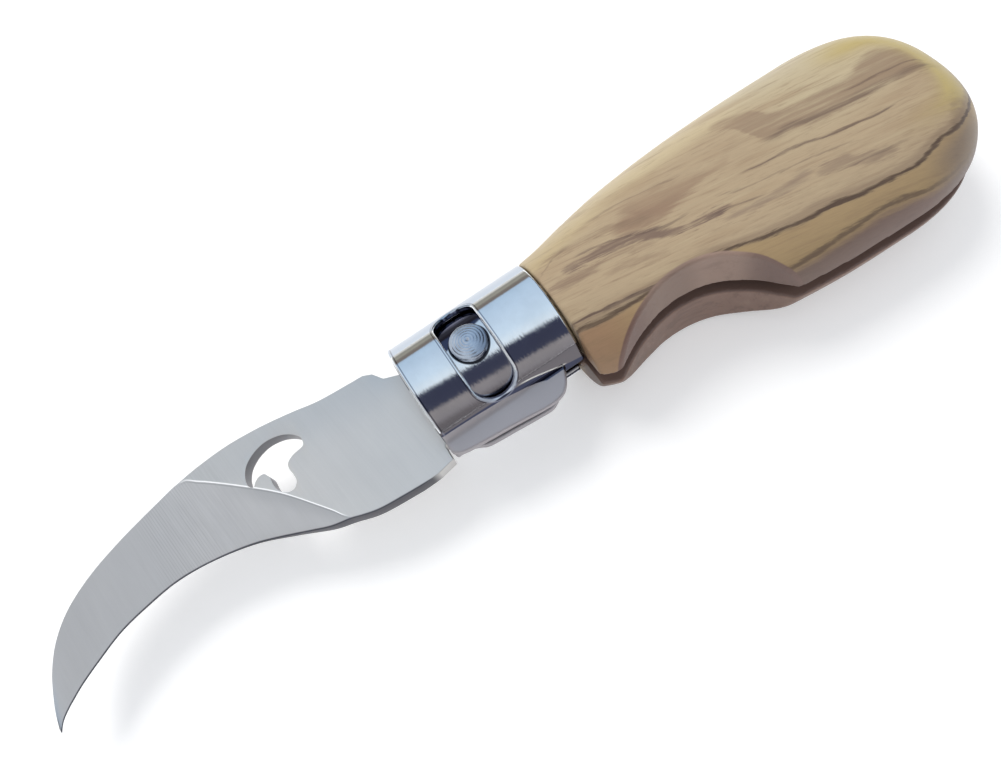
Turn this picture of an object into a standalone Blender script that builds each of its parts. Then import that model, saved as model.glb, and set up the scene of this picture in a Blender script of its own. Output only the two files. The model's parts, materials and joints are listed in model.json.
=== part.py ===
"""Folding mushroom knife: hooked blade, wooden handle and a turning lock ring.

The knife lies on its side. +X runs from the pivot to the butt of the handle, +Y to the
spine and +Z up along the pivot rivet. Every piece is drawn in the pivot frame, whose
origin is the crossing of the rivet's axis and the lock ring's axis, and a parent empty
carries that frame to its place. The world origin is the middle of the flat that the
handle lies on. All lengths are in metres. Angles about the ring's axis count from the
near side (+Z) towards the spine (+Y).
"""
import math

import bmesh
import bpy
from mathutils import Matrix, Vector

# Clearance between neighbouring pieces, overrun of cutters and fineness of round work
FIT_GAP = 0.0003
CUT_OVERRUN = 0.002
WELD_DISTANCE = 0.000005
ARC_STEP = math.radians(5)

# Lock ring: a split sleeve with two thumb lips along its slit
RING_OUTER_RADIUS = 0.0100
RING_WALL = 0.0009
RING_FRONT_REACH = 0.01095
RING_BACK_REACH = 0.0133
RING_SLIT_WIDTH = 0.0034
RING_TRAVEL = math.radians(37)
LIP_BEND_RADIUS = 0.0016
NEAR_LIP_REACH = 0.0036
NEAR_LIP_END = 0.0099
FAR_LIP_REACH = 0.0025
FAR_LIP_END = 0.0085
WINDOW_WIDTH = 0.0068
WINDOW_SPINE_ANGLE = math.radians(23.5)
RELIEF_LEAD = 0.0002

# Inner ferrule on the neck of the handle
FERRULE_WALL = 0.0006
FERRULE_FRONT_LEAD = 0.00015
FERRULE_BACK_SETBACK = 0.0007

# Slot for the blade through ferrule, neck and handle
SLOT_WIDTH = 0.0030
SLOT_END_HEIGHT = 0.0045
TANG_CLEARANCE = 0.00045
TIP_CLEARANCE = 0.0006

# Pivot rivet
RIVET_SHANK_RADIUS = 0.0018
RIVET_HEAD_RADIUS = 0.0030
RIVET_HEAD_DROP = 0.00055
RIVET_RIM_HEIGHT = 0.00025
RIVET_DOME_RISE = 0.0006
RIVET_DIMPLE_RADIUS = 0.0003
RIVET_DIMPLE_DEPTH = 0.0001

# Handle
HANDLE_REACH = 0.0858
HANDLE_SPINE_HEIGHT = 0.0145
HANDLE_BELLY_DEPTH = 0.0210
HANDLE_CROWN = 0.0003
HEEL_DEPTH = 0.0148
BUTT_CAP_LENGTH = 0.0200
BUTT_SIDE_LENGTH = 0.0110
BUTT_TIP_DEPTH = 0.0024
FRONT_ROUND = 0.0005
BUTT_WALL = 0.0038
FLAT_REACH = 0.0550
FLAT_DEPTH = 0.0040
SECTION_POINTS = 48

# Scoop in the belly that bares the back of the folded blade
SCOOP_SETBACK = 0.0035
SCOOP_LENGTH = 0.0277
SCOOP_DEPTH = 0.0095
SCOOP_FLOOR_DEPTH = 0.0101

# Blade
BLADE_THICKNESS = 0.0023
BLADE_EDGE_THICKNESS = 0.00012
BLADE_HEIGHT = 0.0132
BLADE_FOLD = math.radians(165)
TANG_RADIUS = 0.0062
TANG_SPINE_HEIGHT = 0.0063
TANG_BELLY_DEPTH = 0.0086
HEEL_CORNER_DEPTH = 0.0112
CUT_OUT_WIDTH = 0.0112
CUT_OUT_PLACE_SHARE = 0.3435
CUT_OUT_HEIGHT = 0.0045

# Sizes that follow from the ones above
RING_INNER_RADIUS = RING_OUTER_RADIUS - RING_WALL
FERRULE_OUTER_RADIUS = RING_INNER_RADIUS - FIT_GAP
FERRULE_INNER_RADIUS = FERRULE_OUTER_RADIUS - FERRULE_WALL
FERRULE_FRONT = -(RING_FRONT_REACH + FERRULE_FRONT_LEAD)
FERRULE_BACK = RING_BACK_REACH - FERRULE_BACK_SETBACK
NECK_RADIUS = FERRULE_INNER_RADIUS - FIT_GAP
NECK_SLOT_HEIGHT = TANG_SPINE_HEIGHT + TANG_CLEARANCE
HANDLE_HALF_THICKNESS = RING_OUTER_RADIUS
HANDLE_FRONT = RING_BACK_REACH + FIT_GAP
HANDLE_LENGTH = HANDLE_REACH - HANDLE_FRONT
BUTT_START = HANDLE_REACH - BUTT_CAP_LENGTH
HEEL_REACH = FIT_GAP - FERRULE_FRONT
RIVET_HOLE_RADIUS = RIVET_SHANK_RADIUS + FIT_GAP
HEAD_SEAT_RADIUS = FERRULE_OUTER_RADIUS + FIT_GAP
HEAD_ANGLE = math.asin((RIVET_HEAD_DROP + FIT_GAP) / HEAD_SEAT_RADIUS)

# Handle outline: share of the handle's length behind its front, then share of the spine's
# rise above the ring, or of the heel's depth below the ring's axis
SPINE_SHARES = [(0.0, 0.035), (0.06, 0.18), (0.13, 0.42), (0.24, 0.71), (0.40, 0.92),
                (0.58, 1.0), (0.72, 0.97)]
BELLY_SHARES = [(0.0, 0.925), (0.035, 1.0), (0.06, 1.02)]
BELLY_REAR_SHARES = [(0.0, 0.0), (0.25, 0.38), (0.5, 0.70), (0.75, 0.93), (1.0, 1.0)]
BELLY_REAR_START_SHARE = 0.06
BELLY_REAR_END_SHARE = 0.72
# Where the sections of the handle stand, as shares of the length from its front to its butt
STATION_SHARES = [0.03, 0.05, 0.083, 0.125, 0.18, 0.25, 0.333, 0.43, 0.528, 0.64, 0.75, 0.86, 0.96]
# Roundness of the sections and of the butt: 2 is an ellipse, more is squarer
ROUNDNESS_SHARES = [(0.0, 2.0), (0.08, 2.1), (0.25, 2.35), (0.45, 2.5), (1.0, 2.35)]
BUTT_ROUNDNESS_SHARE = 2.25
BUTT_SIDE_ROUNDNESS_SHARE = 2.0
BUTT_STATION_ANGLES = [6, 16, 26, 35, 43, 51, 58, 65, 71, 77, 82, 86, 88.5]

# Scoop outline: share of its length behind the heel, share of its depth below its floor
SCOOP_SHARES = [(-0.12, 0.70), (0.0, 0.453), (0.144, 0.221), (0.26, 0.095), (0.36, 0.018),
                (0.484, 0.0), (0.603, 0.053), (0.704, 0.168), (0.79, 0.337), (0.87, 0.537),
                (0.935, 0.768), (1.0, 1.0), (1.08, 1.30)]

# Lip outline: share of the lip's length from the ring's front, share of its reach
LIP_SHARES = [(-0.05, 0.02), (0.0, 0.04), (0.05, 0.20), (0.12, 0.42), (0.24, 0.56),
              (0.48, 0.76), (0.72, 0.93), (0.80, 1.0), (0.85, 0.96), (0.90, 0.83),
              (0.94, 0.62), (0.97, 0.38), (1.0, 0.09), (1.02, 0.03)]

# Blade stations from notch to tip. Each holds a point on the spine, on the grind line and
# on the edge: share of the blade's length ahead of its heel, share of its height above
# the pivot, share of its half thickness
BLADE_SHARES = [
    ((0.038, 0.560, 1.0), (0.040, -0.66, 1.0), (0.042, -0.894, 1.0)),
    ((0.055, 0.700, 1.0), (0.057, -0.66, 1.0), (0.060, -0.899, 1.0)),
    ((0.076, 0.757, 1.0), (0.080, -0.66, 1.0), (0.090, -0.901, 1.0)),
    ((0.187, 0.803, 1.0), (0.187, -0.68, 1.0), (0.190, -0.856, 1.0)),
    ((0.250, 0.873, 1.0), (0.250, -0.725, 1.0), (0.2535, -0.755, 1.0)),
    ((0.297, 0.922, 1.0), (0.294, -0.523, 1.0), (0.300, -0.690, 0.78)),
    ((0.352, 0.967, 1.0), (0.3586, -0.178, 1.0), (0.373, -0.515, 0.45)),
    ((0.425, 0.997, 1.0), (0.442, 0.266, 1.0), (0.465, -0.313, 0.14)),
    ((0.495, 0.982, 1.0), (0.519, 0.677, 1.0), (0.565, -0.190, 0.0)),
    ((0.570, 0.928, 1.0), (0.5656, 0.910, 1.0), (0.657, -0.1515, 0.0)),
    ((0.655, 0.828, 0.95), (0.657, 0.805, 0.94), (0.740, -0.207, 0.0)),
    ((0.745, 0.703, 0.87), (0.747, 0.680, 0.86), (0.812, -0.293, 0.0)),
    ((0.830, 0.545, 0.78), (0.832, 0.520, 0.77), (0.875, -0.435, 0.0)),
    ((0.902, 0.333, 0.67), (0.903, 0.308, 0.66), (0.925, -0.565, 0.0)),
    ((0.950, 0.075, 0.56), (0.950, 0.050, 0.55), (0.955, -0.665, 0.0)),
    ((0.980, -0.240, 0.46), (0.980, -0.265, 0.45), (0.976, -0.745, 0.0)),
    ((0.9956, -0.600, 0.36), (0.9956, -0.620, 0.35), (0.991, -0.825, 0.0)),
    ((1.0, -0.865, 0.24), (1.0, -0.877, 0.23), (1.0, -0.920, 0.0)),
]
# The folded blade fits the handle: its tip swings inside the wall of the butt
TIP_DEPTH = -BLADE_SHARES[-1][2][1] * BLADE_HEIGHT
SLOT_END_RADIUS = HANDLE_REACH - BUTT_WALL
BLADE_REACH = math.sqrt((SLOT_END_RADIUS - TIP_CLEARANCE) ** 2 - TIP_DEPTH ** 2)
BLADE_LENGTH = BLADE_REACH - HEEL_REACH
CUT_OUT_REACH = HEEL_REACH + CUT_OUT_PLACE_SHARE * BLADE_LENGTH
CORNERED_STATIONS = 3
TANG_STATION_ANGLES = [8, 24, 40, 55, 68, 78]
TANG_STATION_SHARES = [0.0, 0.5, 0.985]

# Mushroom-shaped nail nick, in shares of its width about its own middle
CUT_OUT_SHARES = [
    (-0.49, -0.01), (-0.495, 0.10), (-0.46, 0.21), (-0.38, 0.32), (-0.22, 0.42),
    (-0.02, 0.465), (0.19, 0.43), (0.35, 0.34), (0.455, 0.22), (0.465, 0.13),
    (0.43, 0.06), (0.27, 0.03), (0.155, -0.03), (0.125, -0.12), (0.145, -0.26),
    (0.14, -0.36), (0.07, -0.435), (-0.035, -0.425), (-0.125, -0.34), (-0.17, -0.22),
    (-0.175, -0.07), (-0.22, 0.025), (-0.30, 0.035), (-0.37, 0.0), (-0.43, -0.06)]

# Looks of the plain materials: base colour, metallic value and roughness
WOOD_LOOK = ((0.50, 0.34, 0.17, 1.0), 0.0, 0.50)
BLADE_LOOK = ((0.56, 0.57, 0.57, 1.0), 1.0, 0.38)
RING_LOOK = ((0.62, 0.64, 0.66, 1.0), 1.0, 0.14)
FERRULE_LOOK = ((0.55, 0.57, 0.60, 1.0), 1.0, 0.22)
RIVET_LOOK = ((0.50, 0.53, 0.56, 1.0), 1.0, 0.30)

# Takes an outline drawn in the section plane, as (y, z), to its place across the knife
ACROSS = Matrix(((0, 0, 1, 0), (1, 0, 0, 0), (0, 1, 0, 0), (0, 0, 0, 1)))
UPRIGHT = Matrix.Identity(4)


def clear_scene():
    """Remove whatever the scene holds at the start."""
    for item in list(bpy.data.objects):
        bpy.data.objects.remove(item, do_unlink=True)


def new_collection(name):
    """A collection linked to the scene."""
    group = bpy.data.collections.new(name)
    bpy.context.scene.collection.children.link(group)
    return group


def dress(item, look):
    """Give a piece its own plain material."""
    material = bpy.data.materials.new(item.name + "_finish")
    material.use_nodes = True
    shader = material.node_tree.nodes["Principled BSDF"]
    shader.inputs["Base Color"].default_value = look[0]
    shader.inputs["Metallic"].default_value = look[1]
    shader.inputs["Roughness"].default_value = look[2]
    item.data.materials.append(material)


def weld(mesh):
    """Join points that fall together and turn every face outward."""
    work = bmesh.new()
    work.from_mesh(mesh)
    bmesh.ops.remove_doubles(work, verts=work.verts, dist=WELD_DISTANCE)
    bmesh.ops.recalc_face_normals(work, faces=work.faces)
    work.to_mesh(mesh)
    work.free()


def loft(name, sections, group):
    """A closed skin over cross-sections that have the same number of points."""
    count = len(sections[0])
    faces = []
    for i in range(len(sections) - 1):
        for j in range(count):
            k = (j + 1) % count
            faces.append((i * count + j, i * count + k, (i + 1) * count + k, (i + 1) * count + j))
    last = (len(sections) - 1) * count
    faces.append(tuple(range(count)))
    faces.append(tuple(range(last, last + count)))
    mesh = bpy.data.meshes.new(name)
    mesh.from_pydata([tuple(point) for section in sections for point in section], [], faces)
    weld(mesh)
    item = bpy.data.objects.new(name, mesh)
    group.objects.link(item)
    return item


def extruded(name, outline, low, high, plane, group):
    """A flat outline, drawn as a filled curve, that reaches from low to high across its plane."""
    curve = bpy.data.curves.new(name + "_outline", "CURVE")
    curve.dimensions = "2D"
    curve.fill_mode = "BOTH"
    curve.extrude = (high - low) / 2
    spline = curve.splines.new("POLY")
    spline.points.add(len(outline) - 1)
    for point, place in zip(spline.points, outline):
        point.co = (place[0], place[1], 0.0, 1.0)
    spline.use_cyclic_u = True
    drawn = bpy.data.objects.new(name + "_outline", curve)
    group.objects.link(drawn)
    drawn.matrix_world = plane @ Matrix.Translation((0.0, 0.0, (low + high) / 2))
    bpy.context.view_layer.update()
    mesh = bpy.data.meshes.new_from_object(drawn.evaluated_get(bpy.context.evaluated_depsgraph_get()))
    mesh.transform(drawn.matrix_world)
    bpy.data.objects.remove(drawn, do_unlink=True)
    weld(mesh)
    mesh.name = name
    item = bpy.data.objects.new(name, mesh)
    group.objects.link(item)
    return item


def cylinder(name, radius, low, high, axis, group):
    """A closed cylinder about the X or Z axis of the pivot frame."""
    bpy.ops.mesh.primitive_cylinder_add(
        vertices=round(2 * math.pi / ARC_STEP), radius=radius, depth=high - low)
    item = bpy.context.object
    item.name = name
    item.data.name = name
    item.data.transform(Matrix.Translation((0.0, 0.0, (low + high) / 2)))
    if axis == "X":
        item.data.transform(Matrix.Rotation(math.pi / 2, 4, "Y"))
    for holder in list(item.users_collection):
        holder.objects.unlink(item)
    group.objects.link(item)
    return item


def apply_tool(item, operation, tool):
    """Cut, join or trim a piece with a tool, which isn't part of the knife itself."""
    modifier = item.modifiers.new(tool.name, "BOOLEAN")
    modifier.operation = operation
    modifier.object = tool
    modifier.solver = "EXACT"
    tool.hide_render = True
    tool.display_type = "WIRE"


def shade_round(item, angle):
    """Shade smooth, but keep edges sharper than an angle."""
    item.data.shade_smooth()
    item.data.set_sharp_from_angle(angle=angle)


def smooth_through(points, x):
    """Height at x of a smooth curve through (x, height) points, level beyond both ends."""
    if x <= points[0][0]:
        return points[0][1]
    if x >= points[-1][0]:
        return points[-1][1]
    i = max(k for k in range(len(points) - 1) if points[k][0] <= x)
    slopes = []
    for k in (i, i + 1):
        before = points[max(k - 1, 0)]
        after = points[min(k + 1, len(points) - 1)]
        slopes.append((after[1] - before[1]) / (after[0] - before[0]))
    span = points[i + 1][0] - points[i][0]
    t = (x - points[i][0]) / span
    start = (2 * t ** 3 - 3 * t ** 2 + 1) * points[i][1] + (t ** 3 - 2 * t ** 2 + t) * span * slopes[0]
    end = (3 * t ** 2 - 2 * t ** 3) * points[i + 1][1] + (t ** 3 - t ** 2) * span * slopes[1]
    return start + end


def rounded_path(points, pieces, closed=False):
    """Points along a smooth curve through hand-placed ones, pieces to each span."""
    count = len(points)
    path = []
    for i in range(count if closed else count - 1):
        if closed:
            a, b, c, d = [Vector(points[(i + k) % count]) for k in (-1, 0, 1, 2)]
        else:
            a, b, c, d = [Vector(points[min(max(i + k, 0), count - 1)]) for k in (-1, 0, 1, 2)]
        for j in range(pieces):
            t = j / pieces
            path.append((2 * b + (c - a) * t + (2 * a - 5 * b + 4 * c - d) * t ** 2
                         + (3 * b - a - 3 * c + d) * t ** 3) / 2)
    if not closed:
        path.append(Vector(points[-1]))
    return path


def arc(radius, start, stop):
    """Points (y, z) of an arc about the ring's axis."""
    steps = max(1, round(abs(stop - start) / ARC_STEP))
    points = []
    for i in range(steps + 1):
        angle = start + (stop - start) * i / steps
        points.append((radius * math.sin(angle), radius * math.cos(angle)))
    return points


def sector(inner, outer, start, stop):
    """Outline of a stretch of sleeve between two radii and two angles."""
    return arc(inner, start, stop) + arc(outer, stop, start)


def folded(x, y):
    """Where a point of the open blade lies when the blade is folded."""
    return (x * math.cos(BLADE_FOLD) - y * math.sin(BLADE_FOLD),
            x * math.sin(BLADE_FOLD) + y * math.cos(BLADE_FOLD))


def lip_points(side, flared):
    """The ring's section at its slit, as (y, z) from the round wall to the slit's edge.

    side is +1 for the near lip and -1 for the far one. A stretch without a lip has as
    many points, all on the round wall, so that one skin covers both.
    """
    inner_face = RING_SLIT_WIDTH / 2
    outer_face = inner_face + RING_WALL
    bend_z = outer_face + LIP_BEND_RADIUS
    bend_y = -math.sqrt((RING_OUTER_RADIUS + LIP_BEND_RADIUS) ** 2 - bend_z ** 2)
    lean = math.atan2(-bend_y, bend_z)
    steps = max(2, round(lean / ARC_STEP / 2))
    edge = math.pi / 2 - math.asin(inner_face / RING_OUTER_RADIUS)
    corner = (-RING_OUTER_RADIUS * math.sin(edge), inner_face)
    if flared:
        end = -(RING_OUTER_RADIUS + max(NEAR_LIP_REACH, FAR_LIP_REACH) + CUT_OVERRUN)
        turns = [lean * (1 - i / steps) for i in range(steps + 1)]
        points = [(bend_y + LIP_BEND_RADIUS * math.sin(turn), bend_z - LIP_BEND_RADIUS * math.cos(turn))
                  for turn in turns]
        points += [(end, outer_face), (end, inner_face)]
    else:
        turns = [lean + (edge - lean) * i / (steps + 3) for i in range(steps + 3)]
        points = [(-RING_OUTER_RADIUS * math.sin(turn), RING_OUTER_RADIUS * math.cos(turn))
                  for turn in turns]
    points.append(corner)
    return [(y, side * z) for y, z in points], lean


def ring_section(x, near_flared, far_flared):
    """One section across the ring, a closed band that is open at the slit."""
    near_lip, lean = lip_points(1, near_flared)
    far_lip, lean = lip_points(-1, far_flared)
    slit = math.asin(RING_SLIT_WIDTH / 2 / RING_INNER_RADIUS)
    outline = near_lip + arc(RING_INNER_RADIUS, slit - math.pi / 2, 3 * math.pi / 2 - slit)
    outline += list(reversed(far_lip)) + arc(RING_OUTER_RADIUS, math.pi + lean, -lean)[1:-1]
    return [(x, y, z) for y, z in outline]


def lip_tool(name, side, reach, end, tools):
    """What trims a lip to its own outline."""
    length = RING_FRONT_REACH + end
    low = -(RING_OUTER_RADIUS + max(NEAR_LIP_REACH, FAR_LIP_REACH) + 2 * CUT_OVERRUN)
    outline = rounded_path([(share * length - RING_FRONT_REACH, -RING_OUTER_RADIUS - rise * reach)
                            for share, rise in LIP_SHARES], 2)
    outline += [(outline[-1][0], low), (outline[0][0], low)]
    across = sorted((0.0, side * RING_OUTER_RADIUS))
    return extruded(name, outline, across[0], across[1], UPRIGHT, tools)


def window_tool(name, start, stop, tools):
    """A slot with round ends, wrapped round the ring between its end centres' angles."""
    half = WINDOW_WIDTH / 2
    turns = [math.radians(a) for a in (82.5, 67.5, 52.5, 37.5, 22.5, 7.5)]
    stations = [(start - half * math.sin(a) / RING_OUTER_RADIUS, half * math.cos(a)) for a in turns]
    steps = round((stop - start) / ARC_STEP)
    stations += [(start + (stop - start) * i / steps, half) for i in range(1, steps)]
    stations += [(stop + half * math.sin(a) / RING_OUTER_RADIUS, half * math.cos(a))
                 for a in reversed(turns)]
    low = RING_INNER_RADIUS - CUT_OVERRUN
    high = RING_OUTER_RADIUS + CUT_OVERRUN
    sections = []
    for angle, width in stations:
        corners = ((-width, low), (width, low), (width, high), (-width, high))
        sections.append([(x, r * math.sin(angle), r * math.cos(angle)) for x, r in corners])
    return loft(name, sections, tools)


def build_lock_ring(parts, tools):
    """Split sleeve with two lips, a window for each rivet head and a notch behind a lip.

    The notch lets the ring turn over the back of the folded blade.
    """
    sections = []
    for low, high, near_flared, far_flared in (
            (-RING_FRONT_REACH, FAR_LIP_END, True, True), (FAR_LIP_END, NEAR_LIP_END, True, False),
            (NEAR_LIP_END, RING_BACK_REACH, False, False)):
        sections += [ring_section(x, near_flared, far_flared) for x in (low, high)]
    ring = loft("lock_ring", sections, parts)
    apply_tool(ring, "DIFFERENCE", lip_tool("near_lip_outline", 1, NEAR_LIP_REACH, NEAR_LIP_END, tools))
    apply_tool(ring, "DIFFERENCE", lip_tool("far_lip_outline", -1, FAR_LIP_REACH, FAR_LIP_END, tools))
    swing = WINDOW_SPINE_ANGLE + RING_TRAVEL
    apply_tool(ring, "DIFFERENCE", window_tool("near_window", -HEAD_ANGLE - RING_TRAVEL,
                                               WINDOW_SPINE_ANGLE, tools))
    apply_tool(ring, "DIFFERENCE", window_tool("far_window", math.pi - swing, math.pi + HEAD_ANGLE, tools))
    blade_angle = math.asin(SLOT_WIDTH / 2 / RING_INNER_RADIUS)
    notch = sector(RING_INNER_RADIUS - CUT_OVERRUN, RING_OUTER_RADIUS + CUT_OVERRUN,
                   -math.pi / 2 - blade_angle / 2, -math.pi / 2 - blade_angle - RING_TRAVEL)
    relief = extruded("ring_relief", notch, FAR_LIP_END + RELIEF_LEAD, RING_BACK_REACH + CUT_OVERRUN,
                      ACROSS, tools)
    apply_tool(ring, "DIFFERENCE", relief)
    return ring


def build_ferrule(parts, tools):
    """Thin sleeve on the neck, split along the belly and drilled for the rivet."""
    slit = math.asin(SLOT_WIDTH / 2 / FERRULE_INNER_RADIUS)
    outline = arc(FERRULE_INNER_RADIUS, slit - math.pi / 2, 3 * math.pi / 2 - slit)
    slit = math.asin(SLOT_WIDTH / 2 / FERRULE_OUTER_RADIUS)
    outline += arc(FERRULE_OUTER_RADIUS, 3 * math.pi / 2 - slit, slit - math.pi / 2)
    ferrule = extruded("inner_ferrule", outline, FERRULE_FRONT, FERRULE_BACK, ACROSS, parts)
    apply_tool(ferrule, "DIFFERENCE", cylinder("ferrule_hole", RIVET_HOLE_RADIUS, -RING_OUTER_RADIUS,
                                               RING_OUTER_RADIUS, "Z", tools))
    return ferrule


def oval(x, top, bottom, side, roundness):
    """One section across the handle, a closed ring of points."""
    middle = (top + bottom) / 2
    half = (top - bottom) / 2
    points = []
    for i in range(SECTION_POINTS):
        angle = 2 * math.pi * i / SECTION_POINTS
        rise = math.copysign(abs(math.sin(angle)) ** (2 / roundness), math.sin(angle))
        out = math.copysign(abs(math.cos(angle)) ** (2 / roundness), math.cos(angle))
        points.append((x, middle + half * rise, side * out))
    return points


def butt_share(x, length, roundness):
    """How much of the handle's size is left at x, within a length of its end."""
    t = max(0.0, (x - HANDLE_REACH + length) / length)
    return max(0.0, 1 - t ** roundness) ** (1 / roundness)


def handle_section(x, inset):
    """Section of the handle at x, drawn in by an inset at its front edge."""
    share = (x - HANDLE_FRONT) / HANDLE_LENGTH
    spine_rise = HANDLE_SPINE_HEIGHT - RING_OUTER_RADIUS
    top = RING_OUTER_RADIUS + spine_rise * smooth_through(SPINE_SHARES, share)
    heel = HEEL_DEPTH * smooth_through(BELLY_SHARES, share)
    rear = (share - BELLY_REAR_START_SHARE) / (BELLY_REAR_END_SHARE - BELLY_REAR_START_SHARE)
    growth = smooth_through(BELLY_REAR_SHARES, rear)
    bottom = -(heel + (HANDLE_BELLY_DEPTH - HEEL_DEPTH * BELLY_SHARES[-1][1]) * growth)
    side = HANDLE_HALF_THICKNESS + HANDLE_CROWN * min(1.0, share / ROUNDNESS_SHARES[1][0])
    left = butt_share(x, BUTT_CAP_LENGTH, BUTT_ROUNDNESS_SHARE)
    top = -BUTT_TIP_DEPTH + (top + BUTT_TIP_DEPTH) * left
    bottom = -BUTT_TIP_DEPTH + (bottom + BUTT_TIP_DEPTH) * left
    side = side * butt_share(x, BUTT_SIDE_LENGTH, BUTT_SIDE_ROUNDNESS_SHARE)
    return oval(x, top - inset, bottom + inset, side - inset, smooth_through(ROUNDNESS_SHARES, share))


def slot_outline():
    """Side view of the blade's slot: a floor that clears the ricasso, and an end that clears the tip."""
    corner_x, corner_y = folded(-HEEL_REACH, -HEEL_CORNER_DEPTH)
    rise_x, rise_y = folded(-HEEL_REACH, -TANG_BELLY_DEPTH)
    slope = (corner_x - rise_x) / (corner_y - rise_y)
    foot_x = rise_x + (NECK_SLOT_HEIGHT - rise_y) * slope - FIT_GAP
    outline = [(FERRULE_FRONT - CUT_OVERRUN, NECK_SLOT_HEIGHT), (foot_x, NECK_SLOT_HEIGHT),
               (corner_x - FIT_GAP, corner_y + FIT_GAP)]
    for station in BLADE_SHARES[:CORNERED_STATIONS]:
        belly_x, belly_y = folded(-HEEL_REACH - station[2][0] * BLADE_LENGTH, station[2][1] * BLADE_HEIGHT)
        outline.append((belly_x, belly_y + FIT_GAP))
    first = math.asin(SLOT_END_HEIGHT / SLOT_END_RADIUS)
    last = math.asin((HANDLE_BELLY_DEPTH + CUT_OVERRUN) / SLOT_END_RADIUS)
    steps = 6
    for i in range(steps + 1):
        angle = first + (last - first) * i / steps
        outline.append((SLOT_END_RADIUS * math.cos(angle), -SLOT_END_RADIUS * math.sin(angle)))
    outline.append((FERRULE_FRONT - CUT_OVERRUN, -(HANDLE_BELLY_DEPTH + CUT_OVERRUN)))
    return outline


def scoop_outline():
    """Side view of what the scoop takes from the belly."""
    start = HANDLE_FRONT + SCOOP_SETBACK
    outline = rounded_path([(start + share * SCOOP_LENGTH, -SCOOP_FLOOR_DEPTH - depth * SCOOP_DEPTH)
                            for share, depth in SCOOP_SHARES], 2)
    below = -(HANDLE_BELLY_DEPTH + 2 * CUT_OVERRUN)
    return outline + [(outline[-1][0], below), (outline[0][0], below)]


def build_handle(parts, tools):
    """One piece of wood: neck, shoulder, body with two flats, scoop and slot."""
    sections = [oval(-RING_FRONT_REACH, NECK_RADIUS, -NECK_RADIUS, NECK_RADIUS, 2)]
    shoulder = FERRULE_BACK + FIT_GAP
    sections.append(oval(shoulder, NECK_RADIUS, -NECK_RADIUS, NECK_RADIUS, 2))
    for x in (shoulder, HANDLE_FRONT):
        sections.append(oval(x, FERRULE_OUTER_RADIUS, -FERRULE_OUTER_RADIUS, FERRULE_OUTER_RADIUS, 2))
    for angle in (0, 30, 60, 90):
        turn = math.radians(angle)
        sections.append(handle_section(HANDLE_FRONT + FRONT_ROUND * (1 - math.cos(turn)),
                                       FRONT_ROUND * (1 - math.sin(turn))))
    for share in STATION_SHARES:
        sections.append(handle_section(HANDLE_FRONT + share * (BUTT_START - HANDLE_FRONT), 0.0))
    for angle in BUTT_STATION_ANGLES:
        sections.append(handle_section(BUTT_START + BUTT_CAP_LENGTH * math.sin(math.radians(angle)), 0.0))
    handle = loft("handle", sections, parts)
    side = HANDLE_HALF_THICKNESS
    reach = HANDLE_REACH + CUT_OVERRUN
    depth = HANDLE_BELLY_DEPTH + CUT_OVERRUN
    slab = [(-reach, -depth), (reach, -depth), (reach, depth), (-reach, depth)]
    apply_tool(handle, "INTERSECT", extruded("handle_flats", slab, -side, side, UPRIGHT, tools))
    wide = side + CUT_OVERRUN
    apply_tool(handle, "DIFFERENCE", extruded("scoop", scoop_outline(), -wide, wide, UPRIGHT, tools))
    half = SLOT_WIDTH / 2
    apply_tool(handle, "DIFFERENCE", extruded("blade_slot", slot_outline(), -half, half, UPRIGHT, tools))
    apply_tool(handle, "DIFFERENCE", cylinder("neck_hole", RIVET_HOLE_RADIUS, -RING_OUTER_RADIUS,
                                              RING_OUTER_RADIUS, "Z", tools))
    return handle


def blade_section(spine, grind, edge):
    """Six points across the blade from three points given as (x, y, half thickness)."""
    near = [(p[0], p[1], p[2]) for p in (spine, grind, edge)]
    far = [(p[0], p[1], -p[2]) for p in (edge, grind, spine)]
    return near + far


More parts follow.
